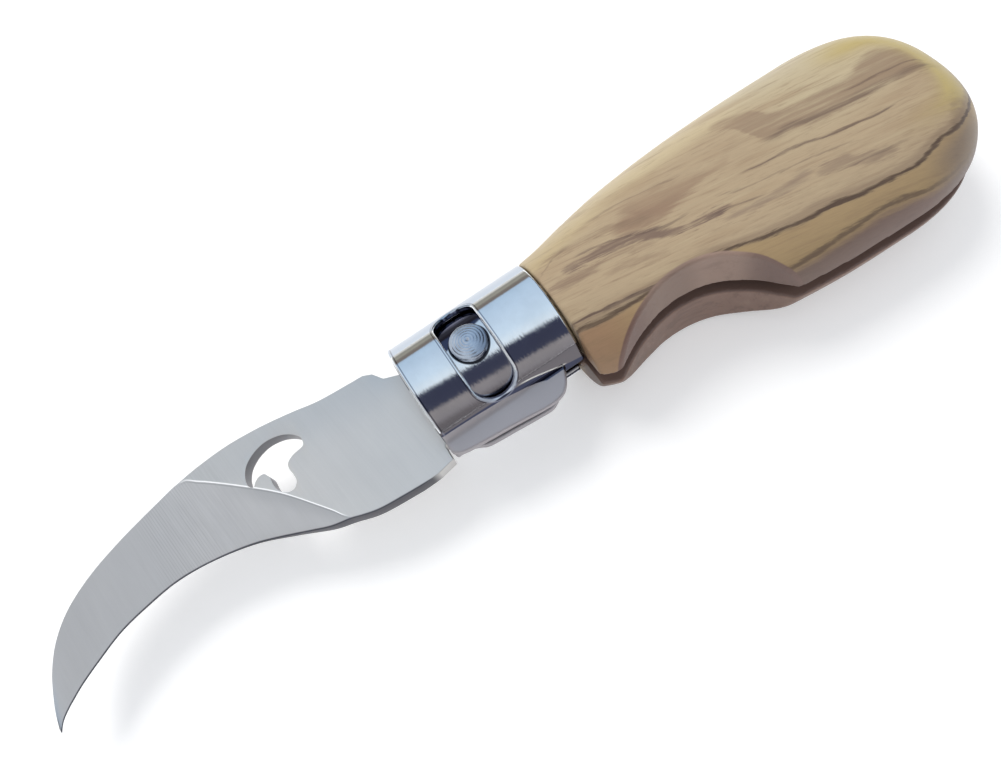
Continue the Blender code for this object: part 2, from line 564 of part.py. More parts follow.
def build_blade(parts, tools):
    """Tang, flat ricasso, then a full grind that runs out into a hooked point."""
    half = BLADE_THICKNESS / 2
    tangent = math.radians(TANG_STATION_ANGLES[-1])
    belly_x = TANG_RADIUS * math.cos(tangent)
    belly_y = -TANG_RADIUS * math.sin(tangent)
    places = []
    for angle in TANG_STATION_ANGLES:
        turn = math.radians(angle)
        rise = TANG_RADIUS * math.sin(turn)
        places.append((TANG_RADIUS * math.cos(turn), rise, TANG_RADIUS * math.cos(turn), -rise))
    for share in TANG_STATION_SHARES:
        top_y = TANG_RADIUS + share * (TANG_SPINE_HEIGHT - TANG_RADIUS)
        x = -share * HEEL_REACH
        slide = (belly_x - x) / (belly_x + HEEL_REACH)
        places.append((x, top_y, x, belly_y - slide * (TANG_BELLY_DEPTH + belly_y)))
    places.append((-HEEL_REACH + FIT_GAP / 2, TANG_SPINE_HEIGHT, -HEEL_REACH, -TANG_BELLY_DEPTH))
    sections = []
    for top_x, top_y, low_x, low_y in places:
        sections.append(blade_section((top_x, top_y, half), (low_x, (top_y + 3 * low_y) / 4, half),
                                      (low_x, low_y, half)))
    step_x = -HEEL_REACH - BLADE_SHARES[0][1][0] * BLADE_LENGTH / 2
    sections.append(blade_section((-HEEL_REACH, TANG_SPINE_HEIGHT, half),
                                  (step_x, BLADE_SHARES[0][1][1] * BLADE_HEIGHT, half),
                                  (-HEEL_REACH, -HEEL_CORNER_DEPTH, half)))
    thin = BLADE_EDGE_THICKNESS / 2
    lines = []
    for line in range(3):
        points = [(-HEEL_REACH - station[line][0] * BLADE_LENGTH, station[line][1] * BLADE_HEIGHT,
                   thin + station[line][2] * (half - thin)) for station in BLADE_SHARES]
        cornered = [Vector(point) for point in points[:CORNERED_STATIONS - 1]]
        lines.append(cornered + rounded_path(points[CORNERED_STATIONS - 1:], 2))
    for spine, grind, edge in zip(lines[0], lines[1], lines[2]):
        sections.append(blade_section(spine, grind, edge))
    blade = loft("blade", sections, parts)
    nick = rounded_path([(x * CUT_OUT_WIDTH - CUT_OUT_REACH, y * CUT_OUT_WIDTH + CUT_OUT_HEIGHT)
                         for x, y in CUT_OUT_SHARES], 2, closed=True)
    wide = half + CUT_OVERRUN
    apply_tool(blade, "DIFFERENCE", extruded("nail_nick", nick, -wide, wide, UPRIGHT, tools))
    apply_tool(blade, "DIFFERENCE", cylinder("tang_hole", RIVET_HOLE_RADIUS, -wide, wide, "Z", tools))
    return blade


def build_rivet(parts, tools):
    """Shank with two domed heads, a little off its axis, that follow the ferrule's curve."""
    rim = HEAD_SEAT_RADIUS + RIVET_RIM_HEIGHT
    apex = rim + RIVET_DOME_RISE
    under = HEAD_SEAT_RADIUS - CUT_OVERRUN / 2
    profile = [(0.0, apex - RIVET_DIMPLE_DEPTH), (RIVET_DIMPLE_RADIUS, apex)]
    steps = 4
    for i in range(1, steps + 1):
        share = i / steps
        profile.append((RIVET_DIMPLE_RADIUS + (RIVET_HEAD_RADIUS - RIVET_DIMPLE_RADIUS) * share,
                        apex - RIVET_DOME_RISE * share ** 2))
    profile += [(RIVET_HEAD_RADIUS, under), (0.0, under)]
    mesh = bpy.data.meshes.new("rivet_head")
    edges = [(i, i + 1) for i in range(len(profile) - 1)]
    mesh.from_pydata([(r, 0.0, z) for r, z in profile], edges, [])
    head = bpy.data.objects.new("pivot_rivet", mesh)
    head.location = (0.0, -RIVET_HEAD_DROP, 0.0)
    parts.objects.link(head)
    turned = head.modifiers.new("turned", "SCREW")
    turned.steps = 48
    turned.render_steps = turned.steps
    turned.use_merge_vertices = True
    turned.merge_threshold = WELD_DISTANCE
    mirrored = head.modifiers.new("both_ends", "MIRROR")
    mirrored.use_axis = (False, False, True)
    mirrored.merge_threshold = WELD_DISTANCE
    apply_tool(head, "DIFFERENCE", cylinder("head_seat", HEAD_SEAT_RADIUS, -RING_OUTER_RADIUS,
                                            RING_OUTER_RADIUS, "X", tools))
    apply_tool(head, "UNION", cylinder("rivet_shank", RIVET_SHANK_RADIUS, -rim, rim, "Z", tools))
    return head


def main():
    clear_scene()
    parts = new_collection("mushroom_knife")
    tools = new_collection("cutters")
    pivot = bpy.data.objects.new("pivot_frame", None)
    pivot.location = (-FLAT_REACH, FLAT_DEPTH, HANDLE_HALF_THICKNESS)
    parts.objects.link(pivot)
    dress(build_handle(parts, tools), WOOD_LOOK)
    dress(build_ferrule(parts, tools), FERRULE_LOOK)
    dress(build_lock_ring(parts, tools), RING_LOOK)
    dress(build_blade(parts, tools), BLADE_LOOK)
    dress(build_rivet(parts, tools), RIVET_LOOK)
    for item in list(parts.objects) + list(tools.objects):
        if item is not pivot:
            item.parent = pivot
            shade_round(item, math.radians(30))
    bpy.context.view_layer.update()


main()
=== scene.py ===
"""Looks of the folding mushroom knife, on a pale floor in soft studio light.

Forms are drawn in millimetres in the pivot frame, whose origin is the crossing of the
rivet's axis and the lock ring's axis, and become metres in the row frame when a mesh is
made. Angles about the ring's axis count from the near side (+Z) towards the spine (+Y).
"""

import json
import math
from functools import reduce
from itertools import product
from operator import mul

import bmesh
import bpy
import numpy as np
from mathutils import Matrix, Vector


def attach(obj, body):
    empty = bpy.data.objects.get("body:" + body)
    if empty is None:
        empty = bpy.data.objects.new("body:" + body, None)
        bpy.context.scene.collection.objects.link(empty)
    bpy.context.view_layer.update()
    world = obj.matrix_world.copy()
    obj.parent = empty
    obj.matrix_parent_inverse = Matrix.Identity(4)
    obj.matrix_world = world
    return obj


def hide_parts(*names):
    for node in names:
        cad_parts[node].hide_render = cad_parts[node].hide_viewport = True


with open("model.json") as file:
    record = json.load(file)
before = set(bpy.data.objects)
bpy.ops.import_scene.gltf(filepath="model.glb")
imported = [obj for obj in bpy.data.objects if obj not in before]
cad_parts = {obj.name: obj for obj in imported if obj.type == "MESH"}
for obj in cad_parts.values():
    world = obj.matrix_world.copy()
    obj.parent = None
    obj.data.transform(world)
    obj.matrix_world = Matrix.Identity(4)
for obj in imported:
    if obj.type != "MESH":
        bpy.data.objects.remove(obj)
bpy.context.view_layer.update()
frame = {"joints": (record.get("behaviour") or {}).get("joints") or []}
MM = 0.001
# Where the axes of both joints cross
PIVOT = Vector(frame["joints"][0]["pos_m"])

# Lock ring, with its angles in degrees
RING_OUTER, RING_INNER = 10, 9.1
RING_FRONT, RING_BACK = -10.95, 13.3
RING_SLIT_HALF, RING_TRAVEL = 1.7, 37
WINDOW_HALF, WINDOW_SPINE_ANGLE, HEAD_ANGLE, BLADE_ANGLE = 3.4, 23.5, 5.36, 9.46
NEAR_WINDOW = (-HEAD_ANGLE - RING_TRAVEL, WINDOW_SPINE_ANGLE)
FAR_WINDOW = (180 - WINDOW_SPINE_ANGLE - RING_TRAVEL, 180 + HEAD_ANGLE)
NOTCH = (-90 - BLADE_ANGLE / 2, -90 - BLADE_ANGLE - RING_TRAVEL)
NOTCH_START = 8.7
RING_ROUNDING, SLIT_ROUNDING, NOTCH_ROUNDING, BORE_ROUNDING = 0.3, 0.28, 0.2, 0.12
LIP_FACE, LIP_DEPTH, LIP_TILT, LIP_HOLLOW = 2.6, 13.6, 0.17, 0.45
NEAR_LIP_REACH, NEAR_LIP_END = 3.6, 9.9
FAR_LIP_REACH, FAR_LIP_END = 2.05, 8.5
NEAR_LIP_SHARES = [(-0.05, 0.26), (0, 0.31), (0.03, 0.42), (0.06, 0.51), (0.12, 0.58), (0.24, 0.65),
                   (0.48, 0.77), (0.62, 0.86), (0.72, 0.92), (0.80, 0.93), (0.86, 0.87), (0.91, 0.72),
                   (0.95, 0.46), (0.98, 0.16), (1, -0.06), (1.03, -0.45)]
FAR_LIP_SHARES = [(-0.05, -0.5), (0.1, -0.3), (0.16, 0), (0.20, 0.2), (0.26, 0.52), (0.37, 0.66),
                  (0.52, 0.78), (0.66, 0.91), (0.79, 1), (0.85, 0.95), (0.89, 0.76), (0.93, 0.5),
                  (0.97, 0.15), (1, -0.2), (1.03, -0.6)]

# Ferrule, rivet and neck
FERRULE_OUTER, FERRULE_INNER = 8.8, 8.2
FERRULE_FRONT, FERRULE_BACK = -11.1, 12.6
FERRULE_ROUNDING, HOLE_ROUNDING = 0.15, 0.1
SLOT_HALF = 1.5
HOLE_RADIUS = 2.1
SHANK_RADIUS = 1.8
HEAD_RADIUS, HEAD_DROP = 3, 0.55
HEAD_SEAT, HEAD_RIM, HEAD_DOME, HEAD_ROUNDING = 9.1, 0.25, 0.6, 0.18
TURNED_DEPTH, TURNED_PITCH, TURNED_END, TURNED_FADE = 0.018, 0.46, 2.75, 0.3
DIMPLE_DEPTH, DIMPLE_RADIUS = 0.16, 0.17
NECK_RADIUS, NECK_END, SHOULDER_END = 7.9, 30, 15

# Handle, with its outlines in shares of its length
HANDLE_FRONT, HANDLE_REACH = 13.6, 85.8
HALF_THICKNESS, CROWN = 10, 0.3
SPINE_RISE, HEEL_DEPTH, BELLY_DEPTH = 4.5, 14.8, 21
BUTT_CAP, BUTT_SIDE, BUTT_TIP_DEPTH = 20, 11, 2.4
BUTT_CAP_POWER, BUTT_SIDE_POWER = 2.25, 2
WOOD_ROUNDING, SCOOP_ROUNDING, SLOT_ROUNDING = 0.5, 0.4, 0.35
# Gap between the wood and what moves or sits beside it
FIT = 0.3
SPINE_SHARES = [(0, 0.035), (0.06, 0.18), (0.13, 0.42), (0.24, 0.71), (0.40, 0.92), (0.58, 1),
                (0.72, 0.97)]
BELLY_SHARES = [(0, 0.925), (0.035, 1), (0.06, 1.02)]
BELLY_REAR_SHARES = [(0, 0), (0.25, 0.38), (0.5, 0.70), (0.75, 0.93), (1, 1)]
BELLY_REAR_START, BELLY_REAR_END = 0.06, 0.72
ROUNDNESS_SHARES = [(0, 2), (0.08, 2.1), (0.25, 2.35), (0.45, 2.5), (1, 2.35)]
SCOOP_START, SCOOP_LENGTH, SCOOP_FLOOR, SCOOP_DEPTH = 17.1, 27.7, 10.1, 9.5
SCOOP_SHARES = [(-0.12, 0.70), (0, 0.453), (0.144, 0.221), (0.26, 0.095), (0.36, 0.018),
                (0.484, 0), (0.603, 0.053), (0.704, 0.168), (0.79, 0.337), (0.87, 0.537),
                (0.935, 0.768), (1, 1), (1.08, 1.30)]
SLOT_START, SLOT_END, SLOT_BOTTOM = -20, 82, -28
SLOT_END_HEIGHT, SLOT_END_DEPTH, NECK_SLOT_HEIGHT = 4.5, 23, 6.75
SIDE_VIEW = ((-22, -30), (90, 18))

# Blade
BLADE_HALF, EDGE_HALF = 1.15, 0.06
BLADE_ROUNDING, ROUNDING_SHARES = 0.16, (0, 0.12, 0.35, 0.7, 1)
EASED_WIDTH, EASED_ANGLE, SHADED_ANGLE = 0.14, math.radians(60), math.radians(28)
BLADE_HEIGHT, BLADE_LENGTH, HEEL_REACH = 13.2, 69.09, 11.4
BLADE_FOLD = math.radians(165)
TANG_RADIUS, TANG_SPINE, TANG_BELLY, HEEL_CORNER = 6.2, 6.3, 8.6, 11.2
TANG_ANGLES = (4, 12, 20, 28, 36, 44, 52, 60, 68, 78)
CUT_OUT_WIDTH, CUT_OUT_REACH, CUT_OUT_HEIGHT = 11.2, 35.13, 4.5
BLADE_SHARES = [
    ((0.038, 0.560, 1), (0.040, -0.66, 1), (0.042, -0.894, 1)),
    ((0.055, 0.700, 1), (0.057, -0.66, 1), (0.060, -0.899, 1)),
    ((0.076, 0.757, 1), (0.080, -0.66, 1), (0.090, -0.901, 1)),
    ((0.187, 0.803, 1), (0.187, -0.68, 1), (0.190, -0.856, 1)),
    ((0.250, 0.873, 1), (0.2459, -0.745, 1), (0.2535, -0.755, 1)),
    ((0.297, 0.922, 1), (0.2873, -0.480, 1), (0.300, -0.690, 0.78)),
    ((0.352, 0.967, 1), (0.3606, 0.006, 1), (0.373, -0.515, 0.45)),
    ((0.425, 0.997, 1), (0.4388, 0.405, 1), (0.465, -0.313, 0.14)),
    ((0.495, 0.982, 1), (0.5223, 0.785, 1), (0.565, -0.190, 0)),
    ((0.570, 0.928, 1), (0.5656, 0.914, 1), (0.657, -0.1515, 0)),
    ((0.655, 0.828, 0.95), (0.657, 0.805, 0.94), (0.740, -0.207, 0)),
    ((0.745, 0.703, 0.87), (0.747, 0.680, 0.86), (0.812, -0.293, 0)),
    ((0.830, 0.545, 0.78), (0.832, 0.520, 0.77), (0.875, -0.435, 0)),
    ((0.902, 0.333, 0.67), (0.903, 0.308, 0.66), (0.925, -0.565, 0)),
    ((0.950, 0.075, 0.56), (0.950, 0.050, 0.55), (0.955, -0.665, 0)),
    ((0.980, -0.240, 0.46), (0.980, -0.265, 0.45), (0.976, -0.745, 0)),
    ((0.9956, -0.600, 0.36), (0.9956, -0.620, 0.35), (0.991, -0.825, 0)),
    ((1, -0.865, 0.24), (1, -0.877, 0.23), (1, -0.920, 0)),
]
CUT_OUT_SHARES = [
    (-0.49, -0.01), (-0.495, 0.10), (-0.46, 0.21), (-0.38, 0.32), (-0.22, 0.42),
    (-0.02, 0.465), (0.19, 0.43), (0.35, 0.34), (0.455, 0.22), (0.465, 0.13),
    (0.43, 0.06), (0.27, 0.03), (0.155, -0.03), (0.125, -0.12), (0.145, -0.26),
    (0.14, -0.36), (0.07, -0.435), (-0.035, -0.425), (-0.125, -0.34), (-0.17, -0.22),
    (-0.175, -0.07), (-0.22, 0.025), (-0.30, 0.035), (-0.37, 0), (-0.43, -0.06)]
# Shares of the blade's length: where the grind's crisp line starts, and between which a highlight is
# painted along it
GRIND_START, GRIND_LINE_SHARES = 0.2, (0.246, 0.566)
MARKS_SLANT = 0.166

# Grids that forms are meshed on: low and high corner, step, and reach of a slope
RING_GRID = ((-11.35, -14.2, -10.3), (13.7, 10.3, 10.3), 0.2, 0.02)
FERRULE_GRID = ((-11.5, -9.2, -9.2), (13, 9.2, 9.2), 0.26, 0.02)
RIVET_GRID = ((-3.34, -3.93, -10.32), (3.3, 2.8, 10.3), 0.1, 0.01)
HANDLE_GRID = ((-11.66, -22.26, -10.45), (86.6, 15.2, 10.5), 0.38, 0.02)
EVENING_ROUNDS, EVENING_SHARE, LEAST_SLOPE = 3, 0.6, 0.2


# Forms as distance functions

def smooth_path(points, pieces, closed=False):
    """Points along a smooth curve through given ones."""
    count = len(points)
    path = []
    for i in range(count if closed else count - 1):
        if closed:
            a, b, c, d = [Vector(points[(i + k) % count]) for k in (-1, 0, 1, 2)]
        else:
            a, b, c, d = [Vector(points[min(max(i + k, 0), count - 1)]) for k in (-1, 0, 1, 2)]
        for j in range(pieces):
            t = j / pieces
            path.append((2 * b + (c - a) * t + (2 * a - 5 * b + 4 * c - d) * t ** 2
                         + (3 * b - a - 3 * c + d) * t ** 3) / 2)
    if not closed:
        path.append(Vector(points[-1]))
    return np.array([tuple(p) for p in path])


def smooth_through(points, x):
    """Heights at x of a smooth curve through (x, height) points, level beyond both ends."""
    xs = np.array([p[0] for p in points])
    ys = np.array([p[1] for p in points])
    slopes = np.array([(ys[min(k + 1, len(xs) - 1)] - ys[max(k - 1, 0)])
                       / (xs[min(k + 1, len(xs) - 1)] - xs[max(k - 1, 0)]) for k in range(len(xs))])
    x = np.clip(x, xs[0], xs[-1])
    i = np.clip(np.searchsorted(xs, x, side="right") - 1, 0, len(xs) - 2)
    span = xs[i + 1] - xs[i]
    t = (x - xs[i]) / span
    start = (2 * t ** 3 - 3 * t ** 2 + 1) * ys[i] + (t ** 3 - 2 * t ** 2 + t) * span * slopes[i]
    return start + (3 * t ** 2 - 2 * t ** 3) * ys[i + 1] + (t ** 3 - t ** 2) * span * slopes[i + 1]


def meet(a, b, r):
    """What two forms share, with an outer edge of radius r."""
    return np.minimum(-r, np.maximum(a, b)) + np.hypot(np.maximum(a + r, 0), np.maximum(b + r, 0))


def join(a, b, r):
    """Two forms in one, with a hollow of radius r between them."""
    return -meet(-a, -b, r)


def gap_to(x, y, start, end):
    """Distance from points to the straight line between two ends."""
    (ax, ay), (bx, by) = start[:2], end[:2]
    dx, dy = bx - ax, by - ay
    t = np.clip(((x - ax) * dx + (y - ay) * dy) / max(dx * dx + dy * dy, 1e-12), 0, 1)
    return np.hypot(x - ax - t * dx, y - ay - t * dy)


class Outline:
    """Distance to a closed outline in the XY plane, looked up on a fine grid."""
    STEP = 0.12

    def __init__(self, points, low, high):
        self.low = np.array(low, float)
        counts = np.ceil((np.array(high) - self.low) / self.STEP).astype(int) + 2
        xs = self.low[0] + self.STEP * np.arange(counts[0])
        ys = self.low[1] + self.STEP * np.arange(counts[1])
        px, py = np.meshgrid(xs, ys, indexing="ij")
        best = np.full(px.shape, 1e9)
        inside = np.zeros(px.shape, bool)
        for (ax, ay), (bx, by) in zip(points, np.roll(points, -1, axis=0)):
            best = np.minimum(best, gap_to(px, py, (ax, ay), (bx, by)))
            if ay != by:
                inside ^= ((ay > py) != (by > py)) & (px < ax + (py - ay) * (bx - ax) / (by - ay))
        self.table = np.where(inside, -best, best)

    def __call__(self, x, y):
        u = np.clip((x - self.low[0]) / self.STEP, 0, self.table.shape[0] - 1.001)
        v = np.clip((y - self.low[1]) / self.STEP, 0, self.table.shape[1] - 1.001)
        i, j = u.astype(int), v.astype(int)
        u, v = u - i, v - j
        t = self.table
        return ((t[i, j] * (1 - u) + t[i + 1, j] * u) * (1 - v)
                + (t[i, j + 1] * (1 - u) + t[i + 1, j + 1] * u) * v)


def cell_points(values, where):
    """The middle of where the surface crosses each cell's edges, in steps of the grid."""
    place = np.zeros((len(where), 3))
    weight = np.zeros(len(where))
    for axis, a, b in product(range(3), (0, 1), (0, 1)):
        first = where.copy()
        first[:, (axis + 1) % 3] += a
        first[:, (axis + 2) % 3] += b
        second = first.copy()
        second[:, axis] += 1
        start, end = values[tuple(first.T)], values[tuple(second.T)]
        crossed = (start < 0) != (end < 0)
        point = first[crossed].astype(float)
        point[:, axis] += start[crossed] / (start[crossed] - end[crossed])
        place[crossed] += point
        weight[crossed] += 1
    return place / weight[:, None]


def faces_across(axis, inside, index):
    """Faces that join the four cells round each grid edge along an axis that the surface crosses."""
    u, v = (axis + 1) % 3, (axis + 2) % 3
    near = [slice(1, -1)] * 3
    near[axis] = slice(0, -1)
    far = list(near)
    far[axis] = slice(1, None)
    begin, finish = inside[tuple(near)], inside[tuple(far)]
    crossing = np.argwhere(begin != finish)
    outward = begin[tuple(crossing.T)]
    crossing[:, u] += 1
    crossing[:, v] += 1
    corners = []
    for du, dv in ((-1, -1), (0, -1), (0, 0), (-1, 0)):
        cell = crossing.copy()
        cell[:, u] += du
        cell[:, v] += dv
        corners.append(index[tuple(cell.T)])
    quads = np.stack(corners, 1)
    quads[~outward] = quads[~outward][:, ::-1]
    return quads


def net(distance, low, high, step):
    """Points and four-cornered faces of the surface where a distance function is zero."""
    low = np.array(low, float)
    counts = np.ceil((np.array(high) - low) / step).astype(int) + 1
    lines = [low[n] + step * np.arange(counts[n]) for n in range(3)]
    grid = np.stack(np.meshgrid(*lines, indexing="ij"), -1)
    values = distance(grid.reshape(-1, 3)).reshape(counts)
    # Each cell that the surface passes through holds one point
    inside, cells = values < 0, counts - 1
    total = np.zeros(cells, int)
    for i, j, k in product((0, 1), repeat=3):
        total += inside[i:i + cells[0], j:j + cells[1], k:k + cells[2]]
    mixed = (total > 0) & (total < 8)
    where = np.argwhere(mixed)
    index = np.full(cells, -1)
    index[mixed] = np.arange(len(where))
    faces = [faces_across(axis, inside, index) for axis in range(3)]
    return low + step * cell_points(values, where), np.concatenate(faces)


def slope(distance, points, reach):
    """Gradient of a distance function."""
    parts = []
    for n in range(3):
        shift = np.zeros(3)
        shift[n] = reach
        parts.append((distance(points + shift) - distance(points - shift)) / (2 * reach))
    return np.stack(parts, 1)


def settle(distance, points, faces, step, reach):
    """Even the points out, draw them onto the surface and find its normals."""
    ends = np.concatenate([faces[:, [n, (n + 1) % 4]] for n in range(4)])
    for turn in range(EVENING_ROUNDS + 1):
        if turn < EVENING_ROUNDS:
            total = np.zeros_like(points)
            count = np.zeros(len(points))
            np.add.at(total, ends[:, 0], points[ends[:, 1]])
            np.add.at(count, ends[:, 0], 1)
            middle = total / count[:, None]
            steep = slope(distance, points, reach)
            steep /= np.maximum(np.linalg.norm(steep, axis=1), 1e-6)[:, None]
            move = (middle - points) * EVENING_SHARE
            points = points + move - steep * (move * steep).sum(1)[:, None]
        steep = slope(distance, points, reach)
        size = np.maximum((steep ** 2).sum(1), LEAST_SLOPE)
        shift = np.clip(distance(points) / size, -step / 2, step / 2)
        points = points - shift[:, None] * steep
    steep = slope(distance, points, reach)
    return points, steep / np.maximum(np.linalg.norm(steep, axis=1), 1e-6)[:, None]


def mesh_of(name, points, faces):
    """A mesh of points in the pivot frame."""
    mesh = bpy.data.meshes.new(name)
    mesh.from_pydata((np.asarray(points) * MM + np.array(PIVOT)).tolist(), [], faces)
    return mesh


def object_of(name, mesh):
    item = bpy.data.objects.new(name, mesh)
    bpy.context.scene.collection.objects.link(item)
    return item


def stand_in(name, mesh, node, body, material):
    """An object that stands for a CAD node and moves with its body."""
    mesh.materials.clear()
    mesh.materials.append(material)
    item = object_of(name, mesh)
    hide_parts(node)
    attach(item, body)


def solid(name, distance, grid, node, body, material):
    """A form's smooth mesh in place of a CAD node."""
    low, high, step, reach = grid
    points, faces = net(distance, low, high, step)
    points, normals = settle(distance, points, faces, step, reach)
    mesh = mesh_of(name, points, faces.tolist())
    mesh.shade_smooth()
    mesh.normals_split_custom_set_from_vertices(normals.tolist())
    stand_in(name, mesh, node, body, material)


def lip_trim(x, y, shares, reach, end):
    """Distance beyond a lip's lower outline."""
    path = smooth_path(shares, 8)
    along = path[:, 0] * (end - RING_FRONT) + RING_FRONT
    rise = path[:, 1] * reach
    lean = np.gradient(rise, along)
    return (-(RING_OUTER + np.interp(x, along, rise)) - y) / np.sqrt(1 + np.interp(x, along, lean) ** 2)


def ring_distance(p):
    """Split tube with two flared lips, a window on each side and a notch behind the lips."""
    x, y, z = p[:, 0], p[:, 1], p[:, 2]
    radius = np.hypot(y, z)
    disc = radius - RING_OUTER
    plate = (np.abs(z) - LIP_FACE - LIP_TILT * (y + LIP_DEPTH)) / math.hypot(1, LIP_TILT)
    flared = join(disc, np.maximum(plate, y), LIP_HOLLOW)
    trim = np.where(z > 0, lip_trim(x, y, NEAR_LIP_SHARES, NEAR_LIP_REACH, NEAR_LIP_END),
                    lip_trim(x, y, FAR_LIP_SHARES, FAR_LIP_REACH, FAR_LIP_END))
    form = np.minimum(disc, meet(flared, trim, RING_ROUNDING))
    form = meet(form, np.maximum(RING_FRONT - x, x - RING_BACK), RING_ROUNDING)
    angle = np.degrees(np.arctan2(y, z))
    for (low, high), turned in ((NEAR_WINDOW, angle), (FAR_WINDOW, np.mod(angle, 360.0))):
        beyond = np.radians(np.maximum(np.maximum(low - turned, turned - high), 0)) * RING_OUTER
        form = meet(form, WINDOW_HALF - np.hypot(x, beyond), RING_ROUNDING)
    slit = np.minimum(RING_SLIT_HALF - np.abs(z), -y)
    form = meet(form, slit, SLIT_ROUNDING)
    turned = -np.mod(-angle, 360.0)
    notch = np.radians(np.maximum(NOTCH[1] - turned, turned - NOTCH[0])) * RING_OUTER
    form = meet(form, -np.maximum(notch, NOTCH_START - x), NOTCH_ROUNDING)
    return meet(form, RING_INNER - radius, BORE_ROUNDING)


def ferrule_distance(p):
    """Thin sleeve, split along the belly and drilled for the rivet."""
    x, y, z = p[:, 0], p[:, 1], p[:, 2]
    radius = np.hypot(y, z)
    ends = np.maximum(FERRULE_FRONT - x, x - FERRULE_BACK)
    form = meet(radius - FERRULE_OUTER, ends, FERRULE_ROUNDING)
    form = meet(form, HOLE_RADIUS - np.hypot(x, y), HOLE_ROUNDING)
    form = meet(form, np.minimum(SLOT_HALF - np.abs(z), -y), FERRULE_ROUNDING)
    form = np.maximum(form, -np.maximum(np.abs(z) - SLOT_HALF, y))
    return meet(form, FERRULE_INNER - radius, BORE_ROUNDING)


def rivet_distance(p):
    """Shank with a domed head at each end, which turning left with rings and a dimple."""
    x, y, z = p[:, 0], p[:, 1], np.abs(p[:, 2])
    out = np.hypot(x, y + HEAD_DROP)
    apex = HEAD_SEAT + HEAD_RIM + HEAD_DOME
    dome = apex - HEAD_DOME * (out / HEAD_RADIUS) ** 2
    rings = TURNED_DEPTH * np.cos(2 * math.pi * out / TURNED_PITCH)
    rings = rings * np.clip((TURNED_END - out) / TURNED_FADE, 0, 1)
    dimple = DIMPLE_DEPTH * np.exp(-(out / DIMPLE_RADIUS) ** 2)
    head = meet(z - dome - rings + dimple, out - HEAD_RADIUS, HEAD_ROUNDING)
    head = np.maximum(head, HEAD_SEAT - np.hypot(y, z))
    shank = np.maximum(np.hypot(x, y) - SHANK_RADIUS, z - HEAD_SEAT - HEAD_RIM)
    return np.minimum(head, shank)


def folded(x, y):
    """Where a point of the open blade lies when the blade is folded."""
    return (x * math.cos(BLADE_FOLD) - y * math.sin(BLADE_FOLD),
            x * math.sin(BLADE_FOLD) + y * math.cos(BLADE_FOLD))


def slot_points():
    """Side view of the slot: a floor that clears the folded ricasso, and an end that clears the tip."""
    corner = folded(-HEEL_REACH, -HEEL_CORNER)
    rise = folded(-HEEL_REACH, -TANG_BELLY)
    lean = (corner[0] - rise[0]) / (corner[1] - rise[1])
    points = [(SLOT_START, NECK_SLOT_HEIGHT),
              (rise[0] + (NECK_SLOT_HEIGHT - rise[1]) * lean - FIT, NECK_SLOT_HEIGHT),
              (corner[0] - FIT, corner[1] + FIT)]
    for station in BLADE_SHARES[:3]:
        x, y = folded(-HEEL_REACH - station[2][0] * BLADE_LENGTH, station[2][1] * BLADE_HEIGHT)
        points.append((x, y + FIT))
    first, last = math.asin(SLOT_END_HEIGHT / SLOT_END), math.asin(SLOT_END_DEPTH / SLOT_END)
    for angle in np.linspace(first, last, 24):
        points.append((SLOT_END * math.cos(angle), -SLOT_END * math.sin(angle)))
    return np.array(points + [(SLOT_START, SLOT_BOTTOM)])


def scoop_line():
    """The scoop's upper edge on the flats."""
    return [(SCOOP_START + share * SCOOP_LENGTH, -SCOOP_FLOOR - depth * SCOOP_DEPTH)
            for share, depth in SCOOP_SHARES]


def scoop_points():
    """Side view of what the scoop takes away."""
    path = smooth_path(scoop_line(), 8)
    bottom = SIDE_VIEW[0][1]
    return np.concatenate([path, [(path[-1, 0], bottom), (path[0, 0], bottom)]])


